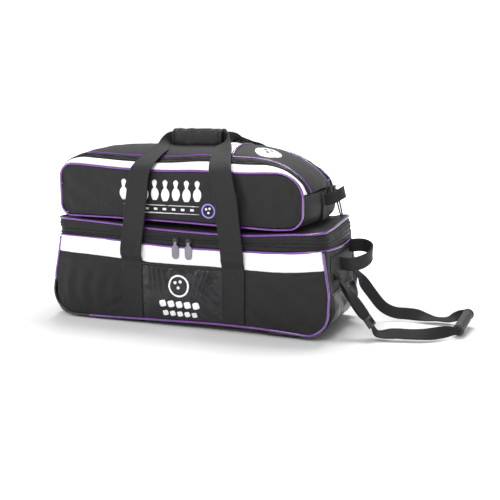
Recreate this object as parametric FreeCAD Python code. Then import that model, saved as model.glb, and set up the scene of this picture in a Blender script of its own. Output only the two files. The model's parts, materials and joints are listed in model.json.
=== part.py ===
"""Three-ball bowling tote with wheels, a pull strap and a shoe bag that rides on its lid.

Millimetres. +X runs along the bag to the pull strap's end, +Y to the back, +Z up.
The origin is the centre of the base panel's underside; wheels and feet stand FLOOR_DROP below it.
Each function builds one or two sub-parts and returns them by node name.
"""
import FreeCAD, Part
import math
import os

V = FreeCAD.Vector

# ---- driving dimensions ----
BALL_R = 108.0            # a bowling ball is 8.5 inches across
BALL_PITCH = 219.0        # ball centre to ball centre along the bag
BASE_HALF = 352.0         # half length of the body at the base
RIM_HALF = 322.5          # half length at the zip
HALF_WIDTH = 126.0        # half width over the front and back panels
RIM_Z = 184.0             # height of the rim piping
ZIP_Z = 194.0             # height of the closed zip
LID_Z = 229.0             # height of the lid piping
CORNER_R = 55.0           # body's lower corners, seen from the front
RIM_CORNER_R = 34.0       # lid's corners, seen from above
SKIN = 4.0                # padded fabric
BOARD = 3.0               # base board
GAP = 0.3                 # clearance between sewn neighbours
PIPING_R = 2.8
FLOOR_DROP = 8.0          # the base rides this high over the floor

BAND_Z = 140.0            # lower edge of the white band
HANDLE_X = 127.0          # handle webbing's centre, measured from the bag's middle
WEBBING = 50.0            # handle webbing width
WEBBING_T = 2.6
SEWN_Z = 139.5            # the handles are sewn down up to here
STAND_OFF = 7.6           # the free handle stands this far out, so the zip runs under it
CROWN_X, CROWN_Z = -12.0, 419.0    # middle of the hand grip
CROWN_HALF = 66.0         # half length of the handle between its bends
DROP_Y, DROP_Z = 129.3, 139.5      # folds that the handles drop about

SHOE_X0, SHOE_X1 = -320.0, 277.0   # ends of the shoe bag's front panel
SHOE_HALF_WIDTH = 117.0
SHOE_Z0, SHOE_Z1 = 234.5, 353.0    # bottom and top of its front panel
SHOE_CROWN = 39.0         # how far its top stands above the front panel
SHOE_BULGE = 18.0         # how far its ends stand out past the front panel
SHOULDER_Z = 306.0        # the strips over its top end here
WHITE_Y, ZIP_Y = 97.0, 75.0        # seams of the shoe bag's top, as distances from its middle
SEAM = 2.9                # half width of the seam that the top piping lies in

WHEEL_R = 32.0
WHEEL_W = 24.0
WHEEL_X, WHEEL_Y = -321.0, 92.0
AXLE_R = 3.0
AXLE_Z = WHEEL_R - FLOOR_DROP
HOUSING_X, HOUSING_Z = -250.0, 80.0   # where the wheel housing stops along the base and up the end

FOOT_X, FOOT_Y, FOOT_R = 231.0, 88.0, 15.0
FOOT_DEPTH = FLOOR_DROP + 0.4
STRIP_HALF = 31.0         # half width of the foot strip
SCREW_X, SCREW_Y = HOUSING_X - 12, 40.0

STUD_R = 1.8              # rivet that a zip pull swings on
PULL_X, PULL_Z = 341.0, 125.0      # pull strap's anchor line
BEND_X, BEND_Z = 432.0, 4.0        # where the pull strap turns along the floor
NEAR_Y, FAR_Y, FAR_BEND_Y = -60.0, 62.0, 112.0
PULL_WIDTH, PULL_T = 28.0, 2.2
GRIP_R = 13.0
GRIP_NEAR = V(588, 14, 6.5)        # ends of the grip's core
GRIP_FAR = V(602, 126, 24)
LOOP_X, LOOP_Y, LOOP_Z = 340.0, 35.0, 158.0   # grab loop's root
LOOP_TILT = 18.0          # its far end sits higher, in degrees
FLOP = 42.0               # how far a grab loop swings up or down

PARTS = {}


# ---- shape helpers ----
def box(x0, x1, y0, y1, z0, z1):
    return Part.makeBox(x1 - x0, y1 - y0, z1 - z0, V(x0, y0, z0))


def rod(start, end, radius):
    axis = end - start
    return Part.makeCylinder(radius, axis.Length, start, axis)


def ring_y(x, z, r_out, r_in, y0, y1):
    """A round collar along Y."""
    outer = rod(V(x, y0, z), V(x, y1, z), r_out)
    return outer.cut(rod(V(x, y0 - 1, z), V(x, y1 + 1, z), r_in)) if r_in else outer


def rounded_path(points, radii, closed=False):
    """A wire through flat corner points, each corner rounded with its own radius."""
    count = len(points)
    corners = []
    for i, p in enumerate(points):
        r = radii[i]
        if r <= 0 or (not closed and i in (0, count - 1)):
            corners.append((p, p, p))
            continue
        u = (points[i - 1] - p).normalize()
        v = (points[(i + 1) % count] - p).normalize()
        half = u.getAngle(v) / 2
        inward = (u + v).normalize()
        centre = p + inward * (r / math.sin(half))
        reach = r / math.tan(half)
        corners.append((p + u * reach, centre - inward * r, p + v * reach))
    edges = []
    for i, (start, middle, end) in enumerate(corners):
        if (end - start).Length > 1e-6:
            edges.append(Part.Arc(start, middle, end).toShape())
        if i + 1 < count or closed:
            onward = corners[(i + 1) % count][0]
            if (onward - end).Length > 1e-6:
                edges.append(Part.makeLine(end, onward))
    return Part.Wire(edges)


def tube(path, radius):
    """A round cord along an open wire."""
    first, vertex = path.OrderedEdges[0], path.OrderedVertexes[0].Point
    start = first.valueAt(first.FirstParameter)
    along = first.tangentAt(first.FirstParameter)
    if (start - vertex).Length > 1e-6:
        start = first.valueAt(first.LastParameter)
        along = first.tangentAt(first.LastParameter) * -1
    circle = Part.Wire([Part.makeCircle(radius, start, along)])
    cord = path.makePipeShell([circle], True, False)
    return cord if cord.Volume > 0 else cord.reversed()


def spline(values, t):
    """Point at t (in stations) on a smooth curve through values."""
    i = min(int(t), len(values) - 2)
    f = t - i
    a, b = values[max(i - 1, 0)], values[i]
    c, d = values[i + 1], values[min(i + 2, len(values) - 1)]
    out = b * 2 + (c - a) * f + (a * 2 - b * 5 + c * 4 - d) * f ** 2
    return (out + (b * 3 - a - c * 3 + d) * f ** 3) * 0.5


def ribbon(stations, thickness, steps=4):
    """Webbing through stations of (centre, width direction, width)."""
    count = (len(stations) - 1) * steps
    ts = [k / steps for k in range(count + 1)]
    centres = [spline([s[0] for s in stations], t) for t in ts]
    wides = [spline([V(s[1]).normalize() for s in stations], t) for t in ts]
    widths = [spline([s[2] for s in stations], t) for t in ts]
    wires = []
    for k, centre in enumerate(centres):
        along = (centres[min(k + 1, count)] - centres[max(k - 1, 0)]).normalize()
        w = (wides[k] - along * wides[k].dot(along)).normalize() * (widths[k] / 2)
        t = along.cross(w).normalize() * (thickness / 2)
        corners = [centre - w - t, centre + w - t, centre + w + t, centre - w + t]
        wires.append(Part.makePolygon(corners + corners[:1]))
    solid = Part.makeLoft(wires, True, True)
    return solid if solid.Volume > 0 else solid.reversed()


def mirror_y(shape):
    return shape.mirror(V(0, 0, 0), V(0, 1, 0))


def mirror_x(shape):
    return shape.mirror(V(0, 0, 0), V(1, 0, 0))


def keep(name, *shapes):
    PARTS[name] = list(shapes)


# ---- outlines ----
def half_length(z):
    """The body's half length at a height: it leans in towards the rim."""
    return BASE_HALF - (BASE_HALF - RIM_HALF) * z / RIM_Z


def body_corners(inset, top, y):
    hl0, hl1 = half_length(0) - inset, half_length(top) - inset
    return [V(-hl1, y, top), V(-hl0, y, inset), V(hl0, y, inset), V(hl1, y, top)]


def body_block(inset, top, y0, y1):
    """Solid with the body's front outline, from y0 to y1."""
    r = CORNER_R - inset
    wire = rounded_path(body_corners(inset, top, y0), [0, r, r, 0], closed=True)
    return Part.Face(wire).extrude(V(0, y1 - y0, 0))


def rim_outline(inset, z):
    x, y, r = RIM_HALF - inset, HALF_WIDTH - 1 - inset, RIM_CORNER_R - inset
    points = [V(-x, -y, z), V(x, -y, z), V(x, y, z), V(-x, y, z)]
    return rounded_path(points, [r] * 4, closed=True)


def rim_ring(z0, z1, inset0, inset1):
    """Upright strip that follows the rim, between two insets."""
    outer = Part.Face(rim_outline(inset0, z0)).extrude(V(0, 0, z1 - z0))
    inner = Part.Face(rim_outline(inset1, z0 - 1)).extrude(V(0, 0, z1 - z0 + 2))
    return outer.cut(inner)


def rim_cord(inset, z, radius):
    """Closed cord round the rim, as a front half and a back half."""
    x, y, r = RIM_HALF - inset, HALF_WIDTH - 1 - inset, RIM_CORNER_R - inset
    points = [V(-x, 0, z), V(-x, -y, z), V(x, -y, z), V(x, 0, z)]
    front = tube(rounded_path(points, [0, r, r, 0]), radius)
    return front.fuse(mirror_y(front)).removeSplitter()


def shoe_swell(y):
    """0 at the shoe bag's front and back panels, 1 along its middle."""
    return 1 - (abs(y) / SHOE_HALF_WIDTH) ** 2.7


def shoe_section(y, inset):
    """The shoe bag's cross-section at y, as a closed wire."""
    swell = shoe_swell(y)
    x0 = SHOE_X0 - SHOE_BULGE * swell + inset
    x1 = SHOE_X1 + SHOE_BULGE * swell - inset
    z0, z1 = SHOE_Z0 + inset, SHOE_Z1 + SHOE_CROWN * swell - inset
    top_r, foot_r = 42 + 50 * swell - inset, 28 - inset
    points = [V(x0, y, z0), V(x1, y, z0), V(x1, y, z1), V(x0, y, z1)]
    return rounded_path(points, [foot_r, foot_r, top_r, top_r], closed=True)


def shoe_shell(ys, thickness):
    """The shoe bag's wrap-round gusset between the first and last of ys."""
    outer = Part.makeLoft([shoe_section(y, 0) for y in ys], True, True)
    inner = Part.makeLoft([shoe_section(y, thickness) for y in ys], True, True)
    return outer.cut(inner)


# ---- lower bag ----
def body_panels():
    front = body_block(3.8, 220, -HALF_WIDTH, -HALF_WIDTH + SKIN)
    black = front.common(box(-400, 400, -150, 0, 0, BAND_Z))
    white = front.common(box(-400, 400, -150, 0, BAND_Z + GAP, RIM_Z - 3.2))
    keep("lower_front_panel", black)
    keep("lower_back_panel", mirror_y(black))
    keep("white_bands", white, mirror_y(white))


def body_gusset():
    side = HALF_WIDTH - SKIN - 0.2
    shell = body_block(0, 220, -side, side).cut(body_block(SKIN, 221, -side - 1, side + 1))
    top = RIM_Z - 3.2
    keep("left_end_panel", shell.common(box(-400, HOUSING_X, -150, 150, HOUSING_Z + GAP, top)))
    strip_end = FOOT_X + STRIP_HALF + GAP
    keep("right_end_panel", shell.common(box(strip_end, 400, -150, 150, -1, top)))
    base = box(HOUSING_X + GAP, FOOT_X - STRIP_HALF - GAP, -side, side, 0, SKIN)
    keep("base_panel", base)


def body_piping():
    """Cord round the front and back panels; the housing's own bead covers the wheel corner."""
    y, inset = -HALF_WIDTH + 0.5, 0.3
    foot_right, top = half_length(0) - inset, RIM_Z - 3.4
    r = CORNER_R - inset
    long_run = [V(HOUSING_X + GAP, y, inset), V(foot_right, y, inset),
                V(half_length(top) - inset, y, top)]
    front = tube(rounded_path(long_run, [0, r, 0]), PIPING_R)
    low = HOUSING_Z + GAP + 0.5
    short_run = [V(inset - half_length(low), y, low), V(inset - half_length(top), y, top)]
    left = tube(rounded_path(short_run, [0, 0]), PIPING_R)
    keep("body_piping", front, left, mirror_y(front), mirror_y(left))
    keep("rim_piping", rim_cord(inset, RIM_Z, PIPING_R))


def base_stiffening():
    corner = body_block(SKIN + GAP, 220, -120, 120)
    board = box(-312, 312, -116, 116, SKIN + 0.2, SKIN + 0.2 + BOARD).common(corner)
    for s in (-1, 1):
        board = board.cut(rod(V(SCREW_X, s * SCREW_Y, 0), V(SCREW_X, s * SCREW_Y, 20), 2.1))
        board = board.cut(rod(V(FOOT_X, s * FOOT_Y, 0), V(FOOT_X, s * FOOT_Y, 20), 2.1))
    floor = SKIN + BOARD + 0.5
    tray = box(-312, 312, -112, 112, floor, 42).common(corner)
    for i in (-1, 0, 1):
        seat = Part.makeSphere(BALL_R + 0.6, V(i * BALL_PITCH, 0, BALL_R + floor + 3))
        tray = tray.cut(seat)
    for s in (-1, 1):
        well = box(-400, WHEEL_X + 41, s * WHEEL_Y - 20, s * WHEEL_Y + 20, -9, 70)
        board, tray = board.cut(well), tray.cut(well)
    keep("base_board", board)
    keep("ball_tray", tray)
    middles = (-BALL_PITCH / 2, BALL_PITCH / 2)
    keep("ball_dividers", *[box(x - 1.2, x + 1.2, -118, 118, 43, 150) for x in middles])


def lower_zip():
    tape = rim_ring(RIM_Z + 3, ZIP_Z - 0.2, 0, 1.2)
    coil = rim_ring(ZIP_Z - 1.8, ZIP_Z - 0.2, -1.2, 1.2)
    zip_side = box(-400, 400, -150, 96, 0, 300)
    keep("lower_zip_tape", tape.fuse(coil).common(zip_side))
    hinge_side = box(-400, 400, 96 + GAP, 150, 0, 300)
    keep("lid_hinge_base", rim_ring(RIM_Z + 3, ZIP_Z - 0.2, 0, 3).common(hinge_side))


def mesh_pocket():
    half = HANDLE_X - WEBBING / 2 - 0.6
    y = -HALF_WIDTH - 0.3
    net = box(-half, half, y - 1.2, y, 4, 133)
    binding = box(-half, half, y - 2.4, y, 133 + GAP, 139.7)
    keep("mesh_pocket", net, binding)


def handle_tails():
    tails = []
    for s in (-1, 1):
        x = s * HANDLE_X
        tails.append(box(x - WEBBING / 2, x + WEBBING / 2, -HALF_WIDTH - 0.3 - WEBBING_T,
                         -HALF_WIDTH - 0.3, 5, SEWN_Z - GAP))
    keep("handle_tails", *tails, *[mirror_y(t) for t in tails])


# ---- wheels, housing and feet ----
def wheel_housing():
    """Moulded corner with two wells; returns the axles that cross them."""
    side = HALF_WIDTH - SKIN - 0.2
    corner = box(-400, HOUSING_X, -150, 150, -1, HOUSING_Z)
    outline = body_block(0, 220, -side, side)
    shell = outline.cut(body_block(3, 221, -side - 1, side + 1)).common(corner)
    bead_path = rounded_path(
        [V(HOUSING_X, -HALF_WIDTH + 0.5, 0.3), V(0.3 - half_length(0), -HALF_WIDTH + 0.5, 0.3),
         V(0.3 - half_length(HOUSING_Z), -HALF_WIDTH + 0.5, HOUSING_Z)], [0, CORNER_R - 0.3, 0])
    bead = tube(bead_path, PIPING_R)
    rim = body_block(0, 220, -side - 2.5, -side + 1).cut(body_block(3, 221, -130, 0)).common(corner)
    housing = shell.fuse([bead, rim, mirror_y(bead), mirror_y(rim)])
    for s in (-1, 1):
        y0, y1 = s * WHEEL_Y - 18, s * WHEEL_Y + 18
        well = ring_y(WHEEL_X, AXLE_Z, WHEEL_R + 7, 0, y0, y1).common(outline)
        housing = housing.fuse(well)
    for s in (-1, 1):
        inside = ring_y(WHEEL_X, AXLE_Z, WHEEL_R + 4, 0, s * WHEEL_Y - 15, s * WHEEL_Y + 15)
        axle = rod(V(WHEEL_X, s * WHEEL_Y - 25, AXLE_Z), V(WHEEL_X, s * WHEEL_Y + 25, AXLE_Z),
                   AXLE_R + 0.05)
        screw = rod(V(SCREW_X, s * SCREW_Y, -5), V(SCREW_X, s * SCREW_Y, 20), 2.1)
        housing = housing.cut(inside).cut(axle).cut(screw)
    keep("wheel_housing", housing.removeSplitter())
    axles = []
    for s in (-1, 1):
        heads = [rod(V(WHEEL_X, s * WHEEL_Y + e * 18.2, AXLE_Z),
                     V(WHEEL_X, s * WHEEL_Y + e * 20.2, AXLE_Z), 5.5) for e in (-1, 1)]
        stub = rod(V(WHEEL_X, s * WHEEL_Y - 18.4, AXLE_Z), V(WHEEL_X, s * WHEEL_Y + 18.4, AXLE_Z),
                   AXLE_R)
        axles.append(stub.fuse(heads).removeSplitter())
    return axles


def wheels():
    washers = []
    for s, side in ((-1, "front"), (1, "rear")):
        y0, y1 = s * WHEEL_Y - WHEEL_W / 2, s * WHEEL_Y + WHEEL_W / 2
        tyre = ring_y(WHEEL_X, AXLE_Z, WHEEL_R, 24.05, y0, y1)
        edges = [e for e in tyre.Edges if len(e.Vertexes) == 1 and abs(e.Curve.Radius - WHEEL_R) < 0.01]
        tyre = tyre.makeFillet(5, edges)
        hub = ring_y(WHEEL_X, AXLE_Z, 24, 0, y0 + 1, y1 - 1)
        for face in (y0 + 1, y1 - 7):
            hub = hub.cut(ring_y(WHEEL_X, AXLE_Z, 20.5, 9, face - 0.5, face + 6.5))
        for k in range(5):
            a = 2 * math.pi * k / 5
            x, z = WHEEL_X + 14.7 * math.cos(a), AXLE_Z + 14.7 * math.sin(a)
            hub = hub.cut(ring_y(x, z, 4.6, 0, y0, y1))
        hub = hub.cut(ring_y(WHEEL_X, AXLE_Z, AXLE_R + 0.06, 0, y0, y1))
        keep(f"{side}_wheel_tyre", tyre)
        keep(f"{side}_wheel_hub", hub)
        for e in (-1, 1):
            near, far = sorted((s * WHEEL_Y + e * 11.3, s * WHEEL_Y + e * 14.7))
            washers.append(ring_y(WHEEL_X, AXLE_Z, 7, AXLE_R + 0.06, near, far))
    keep("wheel_axles", *wheel_housing(), *washers)


def cross_slot(screw, x, y, z):
    """Cuts a cross recess up into a screw head whose face is at z."""
    along = box(x - 2.4, x + 2.4, y - 0.4, y + 0.4, z - 1, z + 1.2)
    across = box(x - 0.4, x + 0.4, y - 2.4, y + 2.4, z - 1, z + 1.2)
    return screw.cut(along).cut(across).removeSplitter()


def screw_up(x, y, head_z, tip_z):
    """Pan-head screw driven upwards, with its head's face at head_z."""
    head = rod(V(x, y, head_z), V(x, y, head_z + 2), 4.4)
    shank = rod(V(x, y, head_z + 1), V(x, y, tip_z), 2)
    return cross_slot(head.fuse(shank), x, y, head_z)


def feet():
    side = HALF_WIDTH - 4.5
    strip = box(FOOT_X - STRIP_HALF, FOOT_X + STRIP_HALF, -side, side, 0.5, SKIN)
    rubber, screws = [], []
    for s in (-1, 1):
        y = s * FOOT_Y
        foot = Part.makeCone(FOOT_R - 2, FOOT_R, FOOT_DEPTH, V(FOOT_X, y, -FLOOR_DROP))
        foot = foot.cut(rod(V(FOOT_X, y, -FLOOR_DROP - 1), V(FOOT_X, y, -FLOOR_DROP + 4.1), 5))
        hole = rod(V(FOOT_X, y, -FLOOR_DROP - 1), V(FOOT_X, y, 5), 2.1)
        rubber.append(foot.cut(hole))
        strip = strip.cut(hole)
        screws.append(screw_up(FOOT_X, y, -FLOOR_DROP + 2, SKIN + BOARD))
        screws.append(screw_up(SCREW_X, s * SCREW_Y, -2.2, SKIN + BOARD))
    keep("foot_strip", strip)
    keep("rubber_feet", *rubber)
    keep("base_screws", *screws)


# ---- lid ----
def lid():
    keep("lid_band", rim_ring(ZIP_Z + 10, LID_Z - 3, 0, 3))
    panel = Part.Face(rim_outline(3.4, LID_Z - 2)).extrude(V(0, 0, SKIN))
    keep("lid_panel", panel)
    keep("lid_piping", rim_cord(0.3, LID_Z, PIPING_R))
    tape = rim_ring(ZIP_Z + 0.2, ZIP_Z + 9.7, 0, 1.2)
    coil = rim_ring(ZIP_Z + 0.2, ZIP_Z + 1.8, -1.2, 1.2)
    keep("upper_zip_tape", tape.fuse(coil).common(box(-400, 400, -150, 96, 0, 300)))
    hinge = rim_ring(ZIP_Z + 0.2, ZIP_Z + 9.7, 0, 3)
    keep("lid_hinge_strip", hinge.common(box(-400, 400, 96 + GAP, 150, 0, 300)))
    strips = [box(x - 70, x + 70, -25, 25, LID_Z + 2.2, LID_Z + 3.4) for x in (-200, 160)]
    keep("lid_hook_tape", *strips)


# ---- main zip sliders ----
def zip_slider(name, x):
    """Slider plate in front of the coil, with the rivet that its pull hangs from."""
    y = -HALF_WIDTH - 0.5
    plate = box(x - 7, x + 7, y - 2.5, y, ZIP_Z - 6.6, ZIP_Z + 6)
    upright = [e for e in plate.Edges if abs(e.tangentAt(e.FirstParameter).y) > 0.9]
    plate = plate.makeFillet(4, upright)
    stud = rod(V(x, y - 2, ZIP_Z), V(x, y - 5.4, ZIP_Z), STUD_R)
    cap = rod(V(x, y - 5.0, ZIP_Z), V(x, y - 6.0, ZIP_Z), STUD_R + 1.2)
    keep(f"{name}_zip_slider", plate.fuse([stud, cap]).removeSplitter())
    keep(f"{name}_zip_pull", zip_pull(x, y - 4.8))


def zip_pull(x, y):
    """Leaf-shaped metal pull, 1.4 thick, that swings on the rivet by an eye at its neck."""
    tip_z = ZIP_Z - 42
    points = [V(x - 3.4, y, ZIP_Z + 3.6), V(x + 3.4, y, ZIP_Z + 3.6), V(x + 3.2, y, ZIP_Z - 9),
              V(x + 8.6, y, ZIP_Z - 15), V(x + 8.6, y, tip_z), V(x - 8.6, y, tip_z),
              V(x - 8.6, y, ZIP_Z - 15), V(x - 3.2, y, ZIP_Z - 9)]
    leaf = rounded_path(points, [3, 3, 3, 7.5, 8.4, 8.4, 7.5, 3], closed=True)
    plate = Part.Face(leaf).extrude(V(0, 1.4, 0))
    return plate.cut(rod(V(x, y - 1, ZIP_Z), V(x, y + 3, ZIP_Z), STUD_R + 0.08))


# ---- carrying handles ----
def handle_leg(s, flip):
    """Stations of one leg of the front handle, from its fold up to the grip."""
    y = -HALF_WIDTH - 0.3 - WEBBING_T / 2
    out = y - STAND_OFF
    x_wide = V(-s * flip, 0, 0)
    return [
        (V(s * 127, y, SEWN_Z + 1.1), x_wide, WEBBING),
        (V(s * 127, y - 3.6, SEWN_Z + 8), x_wide, WEBBING),
        (V(s * 127, out, SEWN_Z + 17), x_wide, WEBBING),
        (V(s * 117.5, out, 230), x_wide, WEBBING),
        (V(s * 109.5 - 0.6, out, 285), x_wide, WEBBING),
        (V(s * 100.5 - 2.5, out + 3, 335), x_wide, WEBBING),
        (V(s * 93 - 4.5, -119, 362), x_wide, WEBBING),
        (V(s * 81.7 - 7.7, -72, 390.5), V(-s * 1.0, 0.1, -0.06) * flip, 44),
        (V(s * 74 - 10.5, -38, 407), V(-s * 0.9, 0.2, -0.4) * flip, 36),
        (V(s * CROWN_HALF + CROWN_X, -6, CROWN_Z), V(-s * 0.1, 0, -1) * flip, 31),
    ]


def handles():
    """One webbing loop at the front and one at the back, and the wrap that holds them together."""
    middle = (V(CROWN_X, -6, CROWN_Z), V(0, 0, -1), 31)
    stations = handle_leg(-1, 1) + [middle] + handle_leg(1, 1)[::-1]
    loop = ribbon(stations, WEBBING_T)
    keep("front_handle", loop)
    keep("rear_handle", mirror_y(loop))
    x0, length = CROWN_X - CROWN_HALF + 5, 2 * CROWN_HALF - 10
    outline = rounded_path([V(x0, 17, CROWN_Z - 22), V(x0, -17, CROWN_Z - 22),
                            V(x0, -17, CROWN_Z + 22), V(x0, 17, CROWN_Z + 22)],
                           [4, 11, 11, 4], closed=True)
    wrap = Part.Face(outline).extrude(V(length, 0, 0))
    slot = box(x0 - 30, x0 + length + 30, -8.8, 30, CROWN_Z - 18.2, CROWN_Z + 18.2)
    keep("grip_wrap", wrap.cut(slot))


# ---- shoe bag ----
def shoe_panels():
    y = -SHOE_HALF_WIDTH
    panel = Part.Face(shoe_section(y, 4.0)).extrude(V(0, SKIN, 0))
    keep("shoe_front_panel", panel)
    keep("shoe_back_panel", mirror_y(panel))
    x0, x1 = SHOE_X0 + 0.3, SHOE_X1 - 0.3
    z0, z1 = SHOE_Z0 + 1.0, SHOE_Z1 - 0.3
    middle = (x0 + x1) / 2
    halves = []
    for far in (x0, x1):
        points = [V(middle, y + 0.5, z0), V(far, y + 0.5, z0), V(far, y + 0.5, z1),
                  V(middle, y + 0.5, z1)]
        halves.append(tube(rounded_path(points, [0, 28, 42, 0]), 2.6))
    cord = halves[0].fuse(halves[1]).removeSplitter()
    keep("shoe_panel_piping", cord, mirror_y(cord))


def shoe_gusset():
    """Strips that wrap over the top, the two ends beneath them, and the base."""
    side = SHOE_HALF_WIDTH - SKIN - 0.4
    low = SHOE_Z0 + 5
    upper = box(-400, 400, -150, 150, SHOULDER_Z + GAP, 500)
    white = shoe_shell([-side, -(WHITE_Y + side) / 2, -WHITE_Y - GAP], 2).common(upper)
    zip_band = shoe_shell([-WHITE_Y, -ZIP_Y - SEAM], 2).common(upper)
    keep("shoe_zip_bands", zip_band, mirror_y(zip_band))
    inner_y = ZIP_Y - SEAM
    top = shoe_shell([-inner_y, -36, 0, 36, inner_y], 2).common(upper)
    patch = box(64, 96, -150, 150, 340, 500)
    keep("shoe_top_panel", top.cut(box(64 - GAP, 96 + GAP, -150, 150, 340, 500)))
    keep("shoe_white_pieces", white, mirror_y(white), top.common(patch))
    ring = shoe_shell([-side, -WHITE_Y, -ZIP_Y, -36, 0, 36, ZIP_Y, WHITE_Y, side], 2)
    ends = ring.common(box(-400, 400, -150, 150, low, SHOULDER_Z))
    left, right = ends.common(box(-400, 0, -150, 150, 0, 500)), ends.common(
        box(0, 400, -150, 150, 0, 500))
    keep("shoe_end_panels", left, right)
    keep("shoe_base_panel", ring.common(box(-400, 400, -150, 150, 0, low - GAP)))


def shoe_top_cords():
    """Cords in the seams between the zip bands and the top panel."""
    swell = shoe_swell(ZIP_Y)
    x0, x1 = SHOE_X0 - SHOE_BULGE * swell, SHOE_X1 + SHOE_BULGE * swell
    z1 = SHOE_Z1 + SHOE_CROWN * swell
    r, low = 42 + 50 * swell, SHOULDER_Z - 12
    points = [V(x0, -ZIP_Y, low), V(x0, -ZIP_Y, z1), V(x1, -ZIP_Y, z1), V(x1, -ZIP_Y, low)]
    front = tube(rounded_path([p + V(0, 0, -0.6) for p in points], [0, r, r, 0]), 2.4)
    front = front.common(box(-400, 400, -150, 0, SHOULDER_Z + 2, 500))
    keep("shoe_top_piping", front, mirror_y(front))


def shoe_end_hardware():
    """Webbing, ring, grab loop and the zips' cord pulls on the end beside the pull strap."""
    wall = SHOE_X1 + SHOE_BULGE + 0.6
    ring_x, ring_z = wall + 5, 312.0
    webbing = box(wall, wall + 2, -22, 22, 242, 304)
    fold = ring_y(ring_x, ring_z, 3.6, 1.7, -11, 11)
    neck = box(wall, ring_x - 1.8, -11, 11, 303, ring_z - 1)
    neck = neck.cut(rod(V(ring_x, -12, ring_z), V(ring_x, 12, ring_z), 2.6))
    keep("shoe_end_webbing", webbing.fuse([neck, fold]).removeSplitter())
    lower = rod(V(ring_x, -15, ring_z), V(ring_x, 15, ring_z), 1.6)
    bend = rounded_path([V(ring_x, -15, ring_z), V(ring_x, -15, ring_z + 17),
                         V(ring_x, 15, ring_z + 17), V(ring_x, 15, ring_z)], [0, 10, 10, 0])
    corners = [Part.makeSphere(1.6, V(ring_x, y, ring_z)) for y in (-15, 15)]
    keep("strap_ring", lower.fuse([tube(bend, 1.6)] + corners).removeSplitter())
    loop = webbing_loop(wall + 3.2, 36, 38, 2.2, 17)
    loop.translate(V(0, 14, 276))
    keep("shoe_grab_loop", loop)
    sliders = []
    for name, y in (("front", 68), ("rear", 84)):
        x = SHOE_X1 + SHOE_BULGE * shoe_swell(y) + 0.8
        sliders.append(box(x, x + 4.5, y - 4, y + 4, 297, 309))
        keep(f"{name}_zip_cord", cord_loop(x + 5.7, y, 301, 246))
    keep("shoe_zip_sliders", *sliders)
    strips = [box(x - 70, x + 70, -25, 25, SHOE_Z0 - 1.5, SHOE_Z0 - 0.3) for x in (-200, 160)]
    keep("shoe_loop_tape", *strips)


def cord_loop(x, y, top, bottom):
    """Thin cord doubled into a long narrow loop."""
    path = rounded_path([V(x, y - 1.2, top), V(x, y - 4, bottom), V(x, y + 4, bottom),
                         V(x, y + 1.2, top)], [0, 3.5, 3.5, 0])
    return tube(path, 0.9)


def webbing_loop(x, depth, half_span, thickness, half_width):
    """Loop of webbing about z = 0, its roots cut back so that it can swing about them."""
    def bow(offset):
        d, h = depth + offset, half_span + offset
        return [V(x, -h, -half_width), V(x + d * 0.55, -h, -half_width),
                V(x + d, -h * 0.35, -half_width), V(x + d, h * 0.35, -half_width),
                V(x + d * 0.55, h, -half_width), V(x, h, -half_width)]
    radii = [0, 12, 12, 12, 12, 0]
    rise = V(0, 0, 2 * half_width)
    outer = Part.Face(rounded_path(bow(0), radii, closed=True)).extrude(rise)
    inner = Part.Face(rounded_path(bow(-thickness), radii, closed=True)).extrude(rise)
    inner.translate(V(-0.5, 0, 0))
    reach = half_width * math.tan(math.radians(FLOP)) + 0.4
    wedge = Part.Face(Part.makePolygon([
        V(x - 1, -99, -half_width - 1), V(x + reach, -99, -half_width - 1), V(x + 0.4, -99, 0),
        V(x + reach, -99, half_width + 1), V(x - 1, -99, half_width + 1),
        V(x - 1, -99, -half_width - 1)])).extrude(V(0, 198, 0))
    return outer.cut(inner).cut(wedge)


# ---- pull-strap end of the body ----
def body_end():
    shell = body_block(-7, 93, -92, 92).cut(body_block(-GAP, 300, -93, 93))
    keep("end_pocket", shell.common(box(300, 400, -92, 92, 22, 92)))
    outside = body_block(-GAP, 300, -130, 130).fuse(box(200, 400, -130, 130, RIM_Z - 3.5, 300))
    tilt = FreeCAD.Rotation(V(1, 0, 0), LOOP_TILT)
    anchors = []
    for s in (-1, 1):
        tab = box(300, LOOP_X - 0.3, s * 42 - 4, s * 42 + 4, -18, 18)
        tab.Placement = FreeCAD.Placement(V(0, LOOP_Y, LOOP_Z), tilt)
        anchors.append(tab.cut(outside))
    loop = webbing_loop(LOOP_X, 64, 43, 2.4, 18)
    loop.Placement = FreeCAD.Placement(V(0, LOOP_Y, LOOP_Z), tilt)
    keep("grab_loop", loop)
    half = PULL_WIDTH / 2
    for y in (NEAR_Y, FAR_Y):
        tab = box(300, PULL_X - 4.4, y - half, y + half, PULL_Z - 14, PULL_Z + 10).cut(outside)
        neck = box(PULL_X - 5, PULL_X, y - half, y + half, PULL_Z - 2, PULL_Z + 2)
        bar = rod(V(PULL_X, y - half, PULL_Z), V(PULL_X, y + half, PULL_Z), 3.6)
        anchors.append(tab.fuse([neck, bar]).removeSplitter())
    keep("end_anchors", *anchors)


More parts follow.
